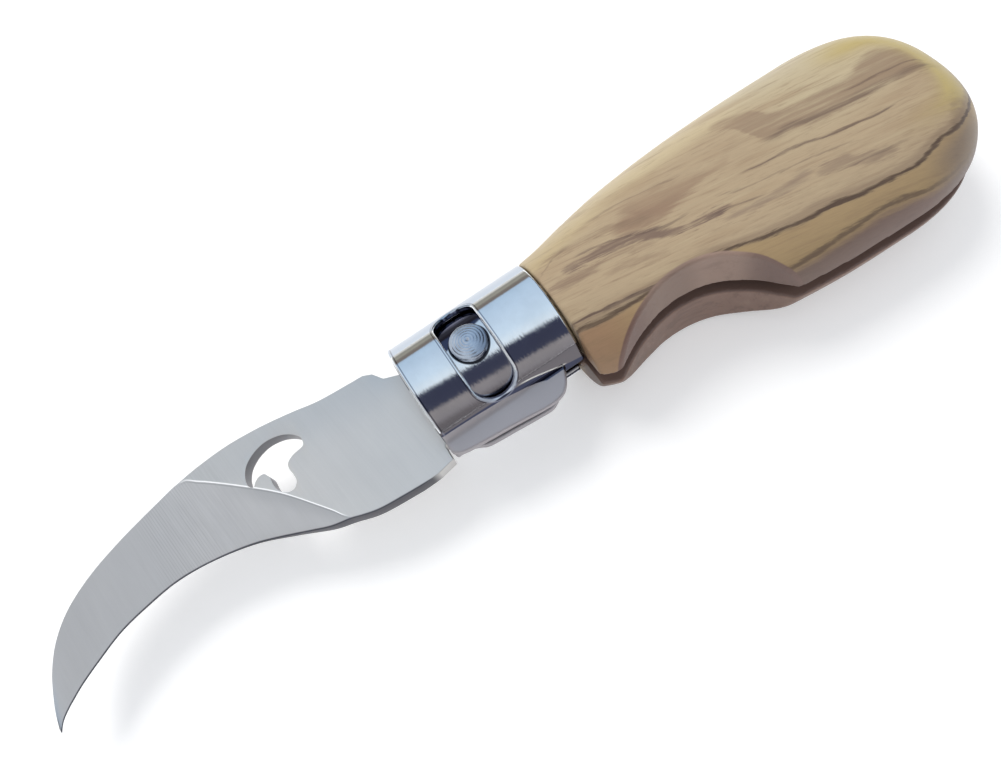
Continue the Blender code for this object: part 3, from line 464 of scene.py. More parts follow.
def handle_form():
    """Distance function of the handle."""
    slot, scoop = Outline(slot_points(), *SIDE_VIEW), Outline(scoop_points(), *SIDE_VIEW)

    def butt(x, length, power):
        t = np.clip((x - HANDLE_REACH + length) / length, 0, 1)
        return np.maximum(1 - t ** power, 1e-4) ** (1 / power)

    def distance(p):
        x, y, z = p[:, 0], p[:, 1], np.abs(p[:, 2])
        share = (x - HANDLE_FRONT) / (HANDLE_REACH - HANDLE_FRONT)
        top = RING_OUTER + SPINE_RISE * smooth_through(SPINE_SHARES, share)
        rear = (share - BELLY_REAR_START) / (BELLY_REAR_END - BELLY_REAR_START)
        growth = smooth_through(BELLY_REAR_SHARES, rear)
        bottom = -(HEEL_DEPTH * smooth_through(BELLY_SHARES, share)
                   + (BELLY_DEPTH - HEEL_DEPTH * BELLY_SHARES[-1][1]) * growth)
        side = HALF_THICKNESS + CROWN * np.clip(share / ROUNDNESS_SHARES[1][0], 0, 1)
        left = butt(x, BUTT_CAP, BUTT_CAP_POWER)
        top = -BUTT_TIP_DEPTH + (top + BUTT_TIP_DEPTH) * left
        bottom = -BUTT_TIP_DEPTH + (bottom + BUTT_TIP_DEPTH) * left
        side = side * butt(x, BUTT_SIDE, BUTT_SIDE_POWER)
        power = smooth_through(ROUNDNESS_SHARES, share)
        rise, half = np.abs(y - (top + bottom) / 2), (top - bottom) / 2
        ratio = ((z / side) ** power + (rise / half) ** power) ** (1 / power)
        form = (1 - 1 / np.maximum(ratio, 0.05)) * np.hypot(z, rise)
        form = meet(form, z - HALF_THICKNESS, WOOD_ROUNDING)
        form = meet(form, np.maximum(HANDLE_FRONT - x, x - HANDLE_REACH), WOOD_ROUNDING)
        form = meet(form, -scoop(x, y), SCOOP_ROUNDING)
        radius = np.hypot(y, z)
        neck = np.maximum(radius - NECK_RADIUS, np.maximum(RING_FRONT - x, x - NECK_END))
        shoulder = np.maximum(radius - FERRULE_OUTER,
                              np.maximum(FERRULE_BACK + FIT - x, x - SHOULDER_END))
        form = np.minimum(form, np.minimum(neck, shoulder))
        form = meet(form, -np.maximum(slot(x, y), z - SLOT_HALF), SLOT_ROUNDING)
        return np.maximum(form, HOLE_RADIUS - np.hypot(x, y))

    return distance


def blade_lines():
    """Spine, grind line and edge of the blade from tang to tip, as (x, y, half thickness)."""
    lines = [[], [], []]
    tangent = math.radians(TANG_ANGLES[-1])
    belly_x, belly_y = TANG_RADIUS * math.cos(tangent), -TANG_RADIUS * math.sin(tangent)
    places = []
    for angle in np.radians(TANG_ANGLES):
        rise = TANG_RADIUS * math.sin(angle)
        places.append((TANG_RADIUS * math.cos(angle), rise, TANG_RADIUS * math.cos(angle), -rise))
    for share in np.linspace(0, 0.985, 12):
        x = -share * HEEL_REACH
        slide = (belly_x - x) / (belly_x + HEEL_REACH)
        places.append((x, TANG_RADIUS + share * (TANG_SPINE - TANG_RADIUS), x,
                       belly_y - slide * (TANG_BELLY + belly_y)))
    places.append((-HEEL_REACH + 0.15, TANG_SPINE, -HEEL_REACH, -TANG_BELLY))
    for top_x, top_y, low_x, low_y in places:
        lines[0].append((top_x, top_y, BLADE_HALF))
        lines[1].append((low_x, (top_y + 3 * low_y) / 4, BLADE_HALF))
        lines[2].append((low_x, low_y, BLADE_HALF))
    first = BLADE_SHARES[0]
    lines[0].append((-HEEL_REACH, TANG_SPINE, BLADE_HALF))
    lines[1].append((-HEEL_REACH - first[1][0] * BLADE_LENGTH / 2, first[1][1] * BLADE_HEIGHT,
                     BLADE_HALF))
    lines[2].append((-HEEL_REACH, -HEEL_CORNER, BLADE_HALF))
    for n in range(3):
        points = [(-HEEL_REACH - s[n][0] * BLADE_LENGTH, s[n][1] * BLADE_HEIGHT,
                   EDGE_HALF + s[n][2] * (BLADE_HALF - EDGE_HALF)) for s in BLADE_SHARES]
        lines[n] += points[:2] + [tuple(p) for p in smooth_path(points[2:], 10)]
    return [np.array(line) for line in lines]


def plain_object(name, points, faces):
    """A closed mesh with merged points and outward faces, as the cutting needs."""
    mesh = mesh_of(name, points, faces)
    work = bmesh.new()
    work.from_mesh(mesh)
    bmesh.ops.remove_doubles(work, verts=work.verts, dist=0.002 * MM)
    bmesh.ops.recalc_face_normals(work, faces=work.faces)
    work.to_mesh(mesh)
    work.free()
    return object_of(name, mesh)


def prism(name, outline):
    """A straight tool with the given outline, for cutting through the blade."""
    count = len(outline)
    points = [(x, y, z) for z in (-3 * BLADE_HALF, 3 * BLADE_HALF) for x, y in outline]
    faces = [(i, (i + 1) % count, (i + 1) % count + count, i + count) for i in range(count)]
    faces += [tuple(reversed(range(count))), tuple(range(count, 2 * count))]
    return plain_object(name, points, faces)


def blade_blank(spine, grind, edge):
    """The blade before anything is cut through it: a loop of points at each station along it."""
    rims = []
    for corner in (spine, edge):
        across = grind[:, :2] - corner[:, :2]
        run = np.linalg.norm(across, axis=1)
        way = across / np.maximum(run, 1e-6)[:, None]
        # No wider than the blade's thickness and the way to the grind line allow
        radius = np.minimum(np.minimum(BLADE_ROUNDING, corner[:, 2] * 0.6), run * 0.9)
        rim = []
        for share in ROUNDING_SHARES:
            drop = radius * (1 - math.sqrt(1 - (1 - share) ** 2))
            rise = (grind[:, 2] - corner[:, 2]) * np.where(run > 0, share * radius / run, 0)
            rim.append(np.column_stack([corner[:, :2] + way * (share * radius)[:, None],
                                        corner[:, 2] + rise - drop]))
        rims.append(rim)
    top, low = rims
    middle = [top[-1] + (grind - top[-1]) * t for t in (0.25, 0.5, 0.75)] + [grind]
    middle += [grind + (low[-1] - grind) * t for t in np.linspace(0, 1, 9)[1:-1]]
    near = top + middle + low[::-1]
    loop = near + [row * (1, 1, -1) for row in near[::-1]]
    around, stations = len(loop), len(spine)
    faces = [(i * around + j, i * around + k, (i + 1) * around + k, (i + 1) * around + j)
             for i in range(stations - 1) for j, k in enumerate(list(range(1, around)) + [0])]
    faces += [tuple(range(around)), tuple(range((stations - 1) * around, stations * around))]
    return plain_object("blade_blank", np.stack(loop, 1).reshape(-1, 3), faces)


def cut_through(blank):
    """Mesh of the blank with its nick and rivet hole cut, and its sharp corners eased."""
    nick = smooth_path([(x * CUT_OUT_WIDTH - CUT_OUT_REACH, y * CUT_OUT_WIDTH + CUT_OUT_HEIGHT)
                        for x, y in CUT_OUT_SHARES], 5, closed=True)
    turns = np.linspace(0, 2 * math.pi, 64, endpoint=False)
    hole = np.column_stack([HOLE_RADIUS * np.cos(turns), HOLE_RADIUS * np.sin(turns)])
    tools = [prism("blade_nick", nick), prism("blade_hole", hole)]
    for tool in tools:
        cut = blank.modifiers.new(tool.name, "BOOLEAN")
        cut.operation = "DIFFERENCE"
        cut.object = tool
        cut.solver = "EXACT"
    eased = blank.modifiers.new("eased", "BEVEL")
    eased.width = EASED_WIDTH * MM
    eased.segments = 3
    eased.limit_method = "ANGLE"
    eased.angle_limit = EASED_ANGLE
    bpy.context.view_layer.update()
    mesh = bpy.data.meshes.new_from_object(blank.evaluated_get(bpy.context.evaluated_depsgraph_get()))
    for item in [blank] + tools:
        bpy.data.objects.remove(item, do_unlink=True)
    return mesh


def keep_grind_line(mesh, grind):
    """Sharp edges along the line where the grind begins."""
    places = (np.array([v.co for v in mesh.vertices]) - np.array(PIVOT)) / MM
    on_line = np.zeros(len(places), bool)
    for start, end in zip(grind[:-1], grind[1:]):
        on_line |= gap_to(places[:, 0], places[:, 1], start, end) < 0.01
    sharp = mesh.attributes.get("sharp_edge") or mesh.attributes.new("sharp_edge", "BOOLEAN", "EDGE")
    for line, flag in zip(mesh.edges, sharp.data):
        a, b = line.vertices
        if on_line[a] and on_line[b] and places[a, 0] < -HEEL_REACH - GRIND_START * BLADE_LENGTH:
            flag.value = True


def build_blade(material):
    """Tang, flat ricasso and ground bevel, with eased corners and a mushroom-shaped cut-out."""
    spine, grind, edge = blade_lines()
    mesh = cut_through(blade_blank(spine, grind, edge))
    mesh.name = "blade_ground"
    mesh.shade_smooth()
    mesh.set_sharp_from_angle(angle=SHADED_ANGLE)
    keep_grind_line(mesh, grind)
    stand_in("blade_ground", mesh, "blade", "blade", material)


# Node helpers

class Value:
    """What a socket of a node tree gives, which adds nodes when it takes part in sums."""

    def __init__(self, tree, socket):
        self.tree, self.socket = tree, socket

    def __add__(self, other):
        return self.tree.math("ADD", self, other)

    def __sub__(self, other):
        return self.tree.math("SUBTRACT", self, other)

    def __rsub__(self, other):
        return self.tree.math("SUBTRACT", other, self)

    def __mul__(self, other):
        return self.tree.math("MULTIPLY", self, other)

    def __abs__(self):
        return self.tree.math("ABSOLUTE", self)

    __radd__, __rmul__ = __add__, __mul__


class Tree:
    """Short calls for building the node tree of a material or a world."""

    def __init__(self, owner):
        owner.use_nodes = True
        self.tree = owner.node_tree

    def put(self, value, socket):
        """Link what a socket gives, or set a number or colour."""
        if isinstance(value, Value):
            self.tree.links.new(value.socket, socket)
        elif socket.type == "RGBA":
            socket.default_value = (*value, 1)
        else:
            socket.default_value = value

    def node(self, kind, values=(), **props):
        """A new node, with values on its first inputs or on those that a dictionary names."""
        made = self.tree.nodes.new(kind)
        for key, value in props.items():
            setattr(made, key, value)
        named = values if isinstance(values, dict) else dict(enumerate(values))
        for key, value in named.items():
            self.put(value, made.inputs[key])
        return made

    def value(self, kind, values=(), output=0, **props):
        """What a new node gives."""
        return Value(self, self.node(kind, values, **props).outputs[output])

    def math(self, operation, a, b=0, clamp=False):
        return self.value("ShaderNodeMath", (a, b), operation=operation, use_clamp=clamp)

    def most(self, a, b):
        return self.math("MAXIMUM", a, b)

    def vector(self, operation, a, b=(0, 0, 0)):
        output = "Value" if operation == "LENGTH" else "Vector"
        return self.value("ShaderNodeVectorMath", (a, b), output, operation=operation)

    def split(self, vector):
        made = self.node("ShaderNodeSeparateXYZ", (vector,))
        return [Value(self, socket) for socket in made.outputs]

    def join(self, x, y, z):
        return self.value("ShaderNodeCombineXYZ", (x, y, z))

    def distance(self, a, b):
        """Length of the way a one way and b across it."""
        return self.vector("LENGTH", self.join(a, b, 0))

    def noise(self, vector, scale, detail, rough):
        values = {"Vector": vector, "Scale": scale, "Detail": detail, "Roughness": rough}
        return self.value("ShaderNodeTexNoise", values, "Fac")

    def span(self, value, low, high, to_low=0, to_high=1, form="SMOOTHSTEP"):
        """A value between two places as one between two others, by default a soft step from 0 to 1."""
        return self.value("ShaderNodeMapRange", (value, low, high, to_low, to_high),
                          interpolation_type=form)

    def within(self, value, start, full, wane, end):
        """A soft rise from 0 to 1 between the first two places and a fall between the last two."""
        return self.span(value, start, full) * self.span(value, end, wane)

    def stripe(self, value, place, far, close):
        """1 where a value is close to a place, falling to 0 where it is far from it."""
        return self.span(abs(value - place), far, close)

    def mix(self, share, a, b, blend="MIX"):
        # Sockets 6 and 7 take the node's two colours, and 2 gives the mixed one
        values = {"Factor": share, 6: a, 7: b}
        return self.value("ShaderNodeMix", values, 2, data_type="RGBA", blend_type=blend)

    def layers(self, colour, *coats):
        """A colour under coats, each one a colour and the shares whose product it covers."""
        for shade, *shares in coats:
            colour = self.mix(reduce(mul, shares), colour, shade)
        return colour

    def shaded(self, colour, shade):
        return self.mix(1, colour, self.join(shade, shade, shade), "MULTIPLY")

    def ramp(self, value, stops):
        """Colour at a value from 0 to 1, by (place, colour) stops."""
        made = self.node("ShaderNodeValToRGB", (value,))
        line = made.color_ramp.elements
        line[0].position, line[1].position = stops[0][0], stops[-1][0]
        for place, _ in stops[1:-1]:
            line.new(place)
        for element, (_, colour) in zip(line, stops):
            element.color = (*colour, 1)
        return Value(self, made.outputs[0])

    def curve(self, value, points, low, high, floor=-24, roof=16):
        """Height at a place on a smooth line through (place, height) points."""
        made = self.node("ShaderNodeFloatCurve")
        line = made.mapping.curves[0].points
        spots = [((a - low) / (high - low), (b - floor) / (roof - floor)) for a, b in points]
        line[0].location = spots[0]
        line[1].location = spots[-1]
        for spot in spots[1:-1]:
            line.new(*spot)
        made.mapping.update()
        self.put(self.span(value, low, high, form="LINEAR"), made.inputs["Value"])
        return self.span(Value(self, made.outputs[0]), 0, 1, floor, roof, form="LINEAR")

    def bump(self, height, strength, distance):
        values = {"Height": height, "Strength": strength, "Distance": distance}
        return self.value("ShaderNodeBump", values)


class Look(Tree):
    """A material."""

    def __init__(self, name):
        self.material = bpy.data.materials.new(name)
        super().__init__(self.material)

    def dress(self, values):
        """The material, with values on the named inputs of its shader."""
        shader = self.tree.nodes["Principled BSDF"]
        for name, value in values.items():
            self.put(value, shader.inputs[name])
        return self.material


class PartLook(Look):
    """A part's material, which knows the place shaded in millimetres in the pivot frame."""

    def __init__(self, name):
        super().__init__(name)
        coords = self.value("ShaderNodeTexCoord", (), "Object")
        moved = self.vector("SUBTRACT", coords, tuple(PIVOT))
        self.place = self.vector("MULTIPLY", moved, (1 / MM, 1 / MM, 1 / MM))
        self.x, self.y, self.z = self.split(self.place)
        self.side = abs(self.z)

    def angle(self):
        """Degrees about the ring's axis towards the spine, from the near or the far side's middle."""
        return self.math("ARCTAN2", self.y, self.side) * math.degrees(1)


# Materials of the wood

GRAIN_ANGLE, FIGURE_LEAN = math.radians(10), 0.16
# Ends of the stretch of the handle that the listed lines are drawn on
LINE_REACH = (8, 92)
# Patches of the near flat: upper and lower outline, how soft each is, strength and colour
PATCHES = [
    ([(50.5, 8.2), (53.2, 7.4), (55.5, 6.1), (57, 3.5), (59.9, 2.2), (62.8, 1.8), (67, 1.4),
      (69.7, 1), (72.2, 2.2), (75, 2.8), (78.5, 1.4), (82, -2.5)],
     [(50.5, 5.6), (52.2, 2.4), (53.7, -0.6), (56.8, -1.8), (59.3, -2.6), (62.8, -3.4), (65.9, -3.7),
      (69.2, -3.6), (72.3, -3.9), (75.3, -4.6), (78.5, -5.6), (82, -6.8)],
     1.1, 0.9, 0.85, (0.31, 0.225, 0.15)),
    ([(30, 4.2), (32.3, 4.3), (34.9, 4), (37.7, 3.3), (41.2, 2.2), (43.8, 1.4), (47.4, 1.1)],
     [(30, 2.6), (31.8, 0.6), (34, -0.6), (37.8, -0.5), (41.2, -0.4), (43.6, 0.1), (47.4, 0.6)],
     1.3, 0.6, 0.75, (0.32, 0.225, 0.147)),
    ([(27.5, 1.6), (30, 2.8), (33, 1.8), (37, 0.6), (41, 0)],
     [(27.5, -0.6), (30, -1.4), (33, -2.2), (37, -1.6), (41, -0.6)],
     1.6, 1.2, 0.85, (0.285, 0.192, 0.128)),
    ([(18, 0.4), (20.2, 0.3), (25, 0), (29.6, -1.1), (32.7, -2.9), (35.5, -4.7), (38.5, -5),
      (42, -5.6)],
     [(18, -0.8), (20.2, -1.1), (25, -2), (29.6, -3.2), (32.7, -4.9), (35.5, -5.9), (38.5, -6.3),
      (42, -6.4)],
     0.6, 0.5, 0.9, (0.185, 0.125, 0.095)),
    ([(15.7, 4), (20.9, 3.8), (25.2, 3), (28.7, 1.8), (32.5, 0.2)],
     [(15.7, 3.3), (20.9, 2.7), (25.2, 1.5), (28.7, 0.4), (32.5, -0.6)],
     0.7, 0.9, 0.7, (0.25, 0.175, 0.115)),
    ([(14.5, -1), (17.5, -0.9), (20.5, -1.6), (23.5, -2.1), (27.2, -2.8), (30.5, -3.9)],
     [(14.5, -2.6), (17.5, -3), (20.5, -3.2), (23.5, -3.1), (27.2, -3.6), (30.5, -4.3)],
     0.6, 1, 0.75, (0.235, 0.16, 0.11)),
    ([(22, -4.6), (25, -4.3), (28, -5.2), (31, -6.6)],
     [(22, -5.3), (25, -5.7), (28, -6.5), (31, -7.2)],
     0.6, 0.8, 0.5, (0.26, 0.18, 0.12)),
    ([(40.5, -7.4), (44, -7.8), (48, -8.4), (51, -8.5), (54, -8.4)],
     [(40.5, -8.2), (44, -9), (48, -10), (51, -10.2), (54, -9.4)],
     0.7, 0.7, 0.65, (0.245, 0.178, 0.132)),
    ([(55.5, -9.2), (58.5, -9.1), (62, -10.9), (65.5, -12.4)],
     [(55.5, -10.4), (58.5, -11.2), (62, -12.9), (65.5, -13.6)],
     0.5, 0.7, 0.6, (0.24, 0.172, 0.125)),
    ([(76, -12.2), (79, -9.6), (82, -7.2), (85, -4.6)],
     [(76, -14.6), (79, -12.8), (82, -10.2), (85, -7)],
     0.8, 0.6, 0.6, (0.26, 0.19, 0.12))]
PATCH_TINT, RUN_OUT = (0.97, 0.93, 0.90), 2
MAIN_VEIN = [(11, -7.9), (13.2, -8.3), (17.1, -9.1), (21.2, -9.7), (25.4, -10.1), (30, -10.5),
             (34.1, -10.8), (37.6, -11.4), (40.8, -12.3), (44.5, -13.2), (48.2, -13.9), (53.5, -14.3),
             (57.3, -15), (61.9, -15.7), (65.3, -16.1), (68.7, -15.8), (72, -15), (74.5, -14.7),
             (76.9, -14.1), (79.5, -12.6), (82, -10.3), (84, -7.5), (86.5, -3)]
ROLL_VEIN = [(38, 5.2), (43.6, 5.6), (50, 6), (55, 6.3), (59, 6.4), (63, 6), (67.5, 5.2),
             (72.5, 4.7), (80, 4)]
# Thin veins: line, half width and strength
VEINS = [
    ([(11.5, -6.6), (13.4, -7.1), (17.8, -8.2), (21.4, -8.9), (25, -9.6), (29, -10.4)], 0.17, 1),
    ([(52.2, 0.4), (54, -0.6), (57.7, -0.7), (60.2, -1.5), (64.4, -2.3), (68.3, -2.9), (72.7, -3.5),
      (78.5, -4.3), (81.5, -5.4)], 0.42, 0.6),
    ([(66, -0.6), (70, -1.2), (74, -1.7), (78, -2.7), (81, -4.2)], 0.14, 0.55),
    ([(46, -2.6), (48.1, -3), (50.8, -3.6), (54.8, -4), (58.5, -5), (60.8, -5.7), (64.9, -6.6),
      (67.1, -7.1), (69, -7.4), (72, -7.2)], 0.17, 0.75),
    ([(36, -5.2), (38.5, -5.9), (41, -6.2), (44, -7), (48, -8)], 0.13, 0.6),
    ([(18.5, 1.2), (23, 0.6), (27, -0.6), (30.5, -2.2), (34, -3.2), (38, -3.4)], 0.12, 0.6),
    ([(41, -3.6), (45, -4.9), (50, -6), (55, -6.9), (60, -8), (63, -8.9)], 0.1, 0.45),
    ([(56, -10.9), (60, -11.6), (65, -12.4), (69.5, -12.8)], 0.09, 0.4),
    ([(13, 0.6), (15, 2), (18, 3.4), (22, 3.3)], 0.1, 0.45),
    ([(24, 5.4), (28, 5.2), (33, 4.4), (37, 3.6), (40.5, 2.5)], 0.1, 0.35)]
VEIN_FADE = 3


class Wood(PartLook):
    """Olive wood, with noise stretched along its grain and the heights in the figure that it moves."""

    def __init__(self, name):
        super().__init__(name)
        sine, cosine = math.sin(GRAIN_ANGLE), math.cos(GRAIN_ANGLE)
        self.along = self.x * cosine - self.y * sine
        self.across = self.x * sine + self.y * cosine
        self.wander = self.grained(0.11, 0.42, 0.12, 3)
        self.ragged = self.grained(0.24, 2.6, 0.9, 5, 0.68)
        self.streaks = self.grained(0.075, 1.35, 0.5, 4, 0.6)
        self.fibres = self.grained(0.30, 5.5, 3, 3, 0.6)
        self.broad = self.grained(0.045, 0.33, 0.12, 3)
        self.level = self.figure_height(2, 0.35, 3.4)
        self.fine_level = self.figure_height(0.8, 0.2, 1.1)

    def grained(self, along, across, through, detail, rough=0.55):
        """Noise about zero, by how often it changes per millimetre each way."""
        vector = self.join(self.along * along, self.across * across, self.z * through)
        return self.noise(vector, 1, detail, rough) - 0.5

    def figure_height(self, wander, drift, ragged):
        """Height in the figure, which leans and drifts on its way through to the far side."""
        depth = HALF_THICKNESS - self.z
        lean = self.y + depth * FIGURE_LEAN
        moved = lean + self.wander * (wander + depth * drift)
        return moved + self.ragged * ragged

    def line(self, points, floor=-24, roof=16):
        """Height of a listed line at this place along the handle."""
        return self.curve(self.x, points, *LINE_REACH, floor, roof)


def wood_ground(t):
    """Tan, yellower to the butt, with a painted highlight along the crest and broad, narrow and ragged
    streaks.
    """
    # Painted highlight: lighter and yellower along the rounded crest towards the spine
    crest = t.layers(
        (0.475, 0.370, 0.212),
        ((0.535, 0.432, 0.268), t.span(t.x, 16, 32)),
        ((0.515, 0.432, 0.285), t.span(t.x, 48, 60)))
    return t.layers(
        (0.428, 0.322, 0.203),
        ((0.505, 0.412, 0.262), t.span(t.x, 48, 66), t.span(t.y, -7, 0)),
        (crest, t.span(t.side, 9.75, 8.6), t.span(t.y, -2, 4)),
        ((0.355, 0.248, 0.150), t.span(t.broad, 0, 0.20), 0.5),
        ((0.310, 0.216, 0.134), t.span(t.streaks, 0.03, 0.18), 0.50),
        ((0.52, 0.43, 0.27), t.span(t.streaks, -0.04, -0.22), 0.30),
        ((0.295, 0.205, 0.128), t.span(t.ragged, 0.04, 0.17), 0.44))


def run_out(line, rise):
    """A patch's outline, led on at both ends to where it crosses the other one."""
    (first_x, first_y), (last_x, last_y) = line[0], line[-1]
    return [(first_x - RUN_OUT, first_y + rise)] + line + [(last_x + RUN_OUT, last_y + rise)]


def wood_patches(t, colour):
    """Soft brown patches, each between an upper and a lower outline."""
    for upper, lower, soft_up, soft_low, strength, shade in PATCHES:
        above = t.line(run_out(upper, -2.2)) - t.level
        below = t.level - t.line(run_out(lower, 1.4))
        tinted = tuple(part * tint for part, tint in zip(shade, PATCH_TINT))
        colour = t.layers(
            colour,
            (tinted, t.span(above, -soft_up / 2, soft_up), t.span(below, -soft_low / 2, soft_low),
             t.span(t.streaks, -0.26, 0.06, 0.45, 1), strength))
    return colour


def wood_veins(t, colour):
    """The main vein with golden wood under it, yellow rims near the butt, and the thin veins."""
    under = t.line(MAIN_VEIN) - t.fine_level
    # More orange beside the ring
    golden = t.layers(
        (0.372, 0.258, 0.132),
        ((0.330, 0.200, 0.112), t.span(t.x, 26, 15)),
        ((0.265, 0.172, 0.095), t.span(t.streaks, 0, 0.2), 0.4))
    colour = t.layers(
        colour,
        (golden, t.span(under, -0.1, 0.5), t.span(t.y, -6.5, -8)),
        ((0.497, 0.388, 0.150), t.span(t.side, 9.97, 9.1), t.span(t.side + t.streaks * 4, 5, 8.6),
         t.span(t.x, 66, 75), t.span(t.level, -13.5, -9), t.span(t.y, 11, 5, 0.40, 0.92)),
        ((0.225, 0.152, 0.100), t.stripe(under, -0.65, 0.9, 0), 0.5),
        ((0.098, 0.060, 0.038), t.stripe(under, 0, 0.46, 0.10),
         t.span(t.streaks, -0.3, 0.05, 0.78, 1)))
    for line, half, strength in VEINS:
        start, end = line[0][0], line[-1][0]
        colour = t.layers(
            colour,
            ((0.125, 0.080, 0.060), t.stripe(t.fine_level, t.line(line), half * 2.4, half * 0.3),
             t.within(t.x, start, start + VEIN_FADE, end - VEIN_FADE, end),
             t.span(t.streaks, -0.22, 0.08, 0.25, 1), strength))
    return colour


def wood_roll(t, colour):
    """The shaded roll towards the slot, with a vein along it."""
    inward = t.line(ROLL_VEIN, 0, 16) - (t.side + t.ragged * 1.3)
    rolled = t.layers(
        (0.178, 0.118, 0.092),
        ((0.215, 0.145, 0.120), t.span(t.x, 40, 80)),
        ((0.135, 0.088, 0.070), t.span(t.streaks, 0, 0.2), 0.3))
    return t.layers(
        colour,
        (rolled, t.span(inward, -0.1, 1.5), t.span(t.y, -9, -12), t.span(t.x, 40, 43)),
        ((0.100, 0.064, 0.048), t.stripe(inward, 0, 0.50, 0.06), t.span(t.y, -12, -14.5),
         t.span(t.x, 41, 44), t.span(t.x, 82, 62, 0.15, 0.75)))


def wood_scoop(t, colour):
    """Painted shade in the scoop, lighter in its middle, and on the far half's lower part, which shows past
    the near half in the photo.
    """
    # Painted shade in the scoop, lighter in its middle
    scoop_shade = t.layers(
        (0.262, 0.178, 0.138),
        ((0.200, 0.128, 0.105), t.span(t.x, 36, 43)),
        ((0.178, 0.102, 0.079), t.span(t.x, 27, 20)),
        ((0.335, 0.228, 0.178), t.within(t.x, 31, 35, 38, 41)),
        ((0.165, 0.105, 0.082), t.span(t.streaks, 0, 0.2), 0.3))
    # Painted shade on the far half's lower part
    ledge_shade = t.layers(
        (0.180, 0.102, 0.070),
        ((0.250, 0.155, 0.118), t.span(t.x, 15, 34)),
        ((0.140, 0.084, 0.062), t.span(t.streaks, 0, 0.16), 0.45),
        ((0.320, 0.215, 0.155), t.span(t.streaks, -0.04, -0.18), 0.40))
    return t.layers(
        colour,
        (scoop_shade, t.span(t.side, 9.85, 9.5), t.span(t.y - t.line(scoop_line()), 0.75, 0.45),
         t.within(t.x, 14.5, 16, 46.5, 48.5)),
        (ledge_shade, t.span(t.z, -0.5, -1.5), t.span(t.side, 9.9, 9.4), t.span(t.y, -6, -9)))


def wood_ends(t, colour):
    """The shaded butt and heel, the crown's middle and the slot's walls."""
    butt = t.span(t.side + t.streaks * 3, 8.6, 4.5)
    return t.layers(
        colour,
        ((0.300, 0.234, 0.198), butt, t.span(t.x, 80.6, 84.8), t.span(t.y, 10, -3), 0.85),
        ((0.210, 0.160, 0.130), t.span(t.side, 8.8, 6.6), t.span(t.x, 66, 74),
         t.span(t.y, -12.5, -16.5), 0.7),
        ((0.37, 0.27, 0.22), t.span(t.side, 4.2, 2), t.span(t.y, 4, 7), t.span(t.x, 60, 40),
         t.span(t.streaks, -0.2, 0.1, 0.15, 0.4)),
        ((0.185, 0.120, 0.098), t.span(t.side, SLOT_HALF + 0.28, SLOT_HALF + 0.08), t.span(t.y, 8, 7.2),
         t.span(t.distance(t.x, t.y), SLOT_END + 0.35, SLOT_END + 0.05)))


def wood():
    """Oiled olive wood: a tan ground with soft brown patches, dark veins and fine fibres."""
    t = Wood("olive_wood_oiled")
    colour = wood_ground(t)
    for coat in (wood_patches, wood_veins, wood_roll, wood_scoop, wood_ends):
        colour = coat(t, colour)
    shade = 1 + t.fibres * 0.30
    shade = shade + t.span(t.fibres, 0.10, 0.30) * -0.12
    return t.dress({"Base Color": t.shaded(colour, shade),
                    "Roughness": t.span(t.fibres, -0.2, 0.2, 0.38, 0.50),
                    "Normal": t.bump(t.fibres, 0.15, 0.00006),
                    "Specular IOR Level": 0.35, "Coat Weight": 0.10, "Coat Roughness": 0.28})


# Materials of the metal pieces

# Lines on the ring, as (x, degrees below the near side): where the painted dark reflection above the lips
# begins, and where the lips begin
DARK_LINE = [(-12, -60.9), (-5.6, -61.5), (-1.9, -62), (2, -62.4), (4.6, -63.9), (7, -67),
             (9.8, -71), (14, -75)]
LIP_LINE = [(-12, -62.8), (-5.8, -63.5), (-2.1, -64.7), (0, -65.3), (2, -67), (4.6, -69.6),
            (7, -72.7), (9.1, -75.1), (14, -80)]
RING_LINE_REACH = (-12, 14, -85, -55)
# Scale, detail and roughness of the soft clouds in bright steel
CLOUD = (0.18, 3, 0.6)


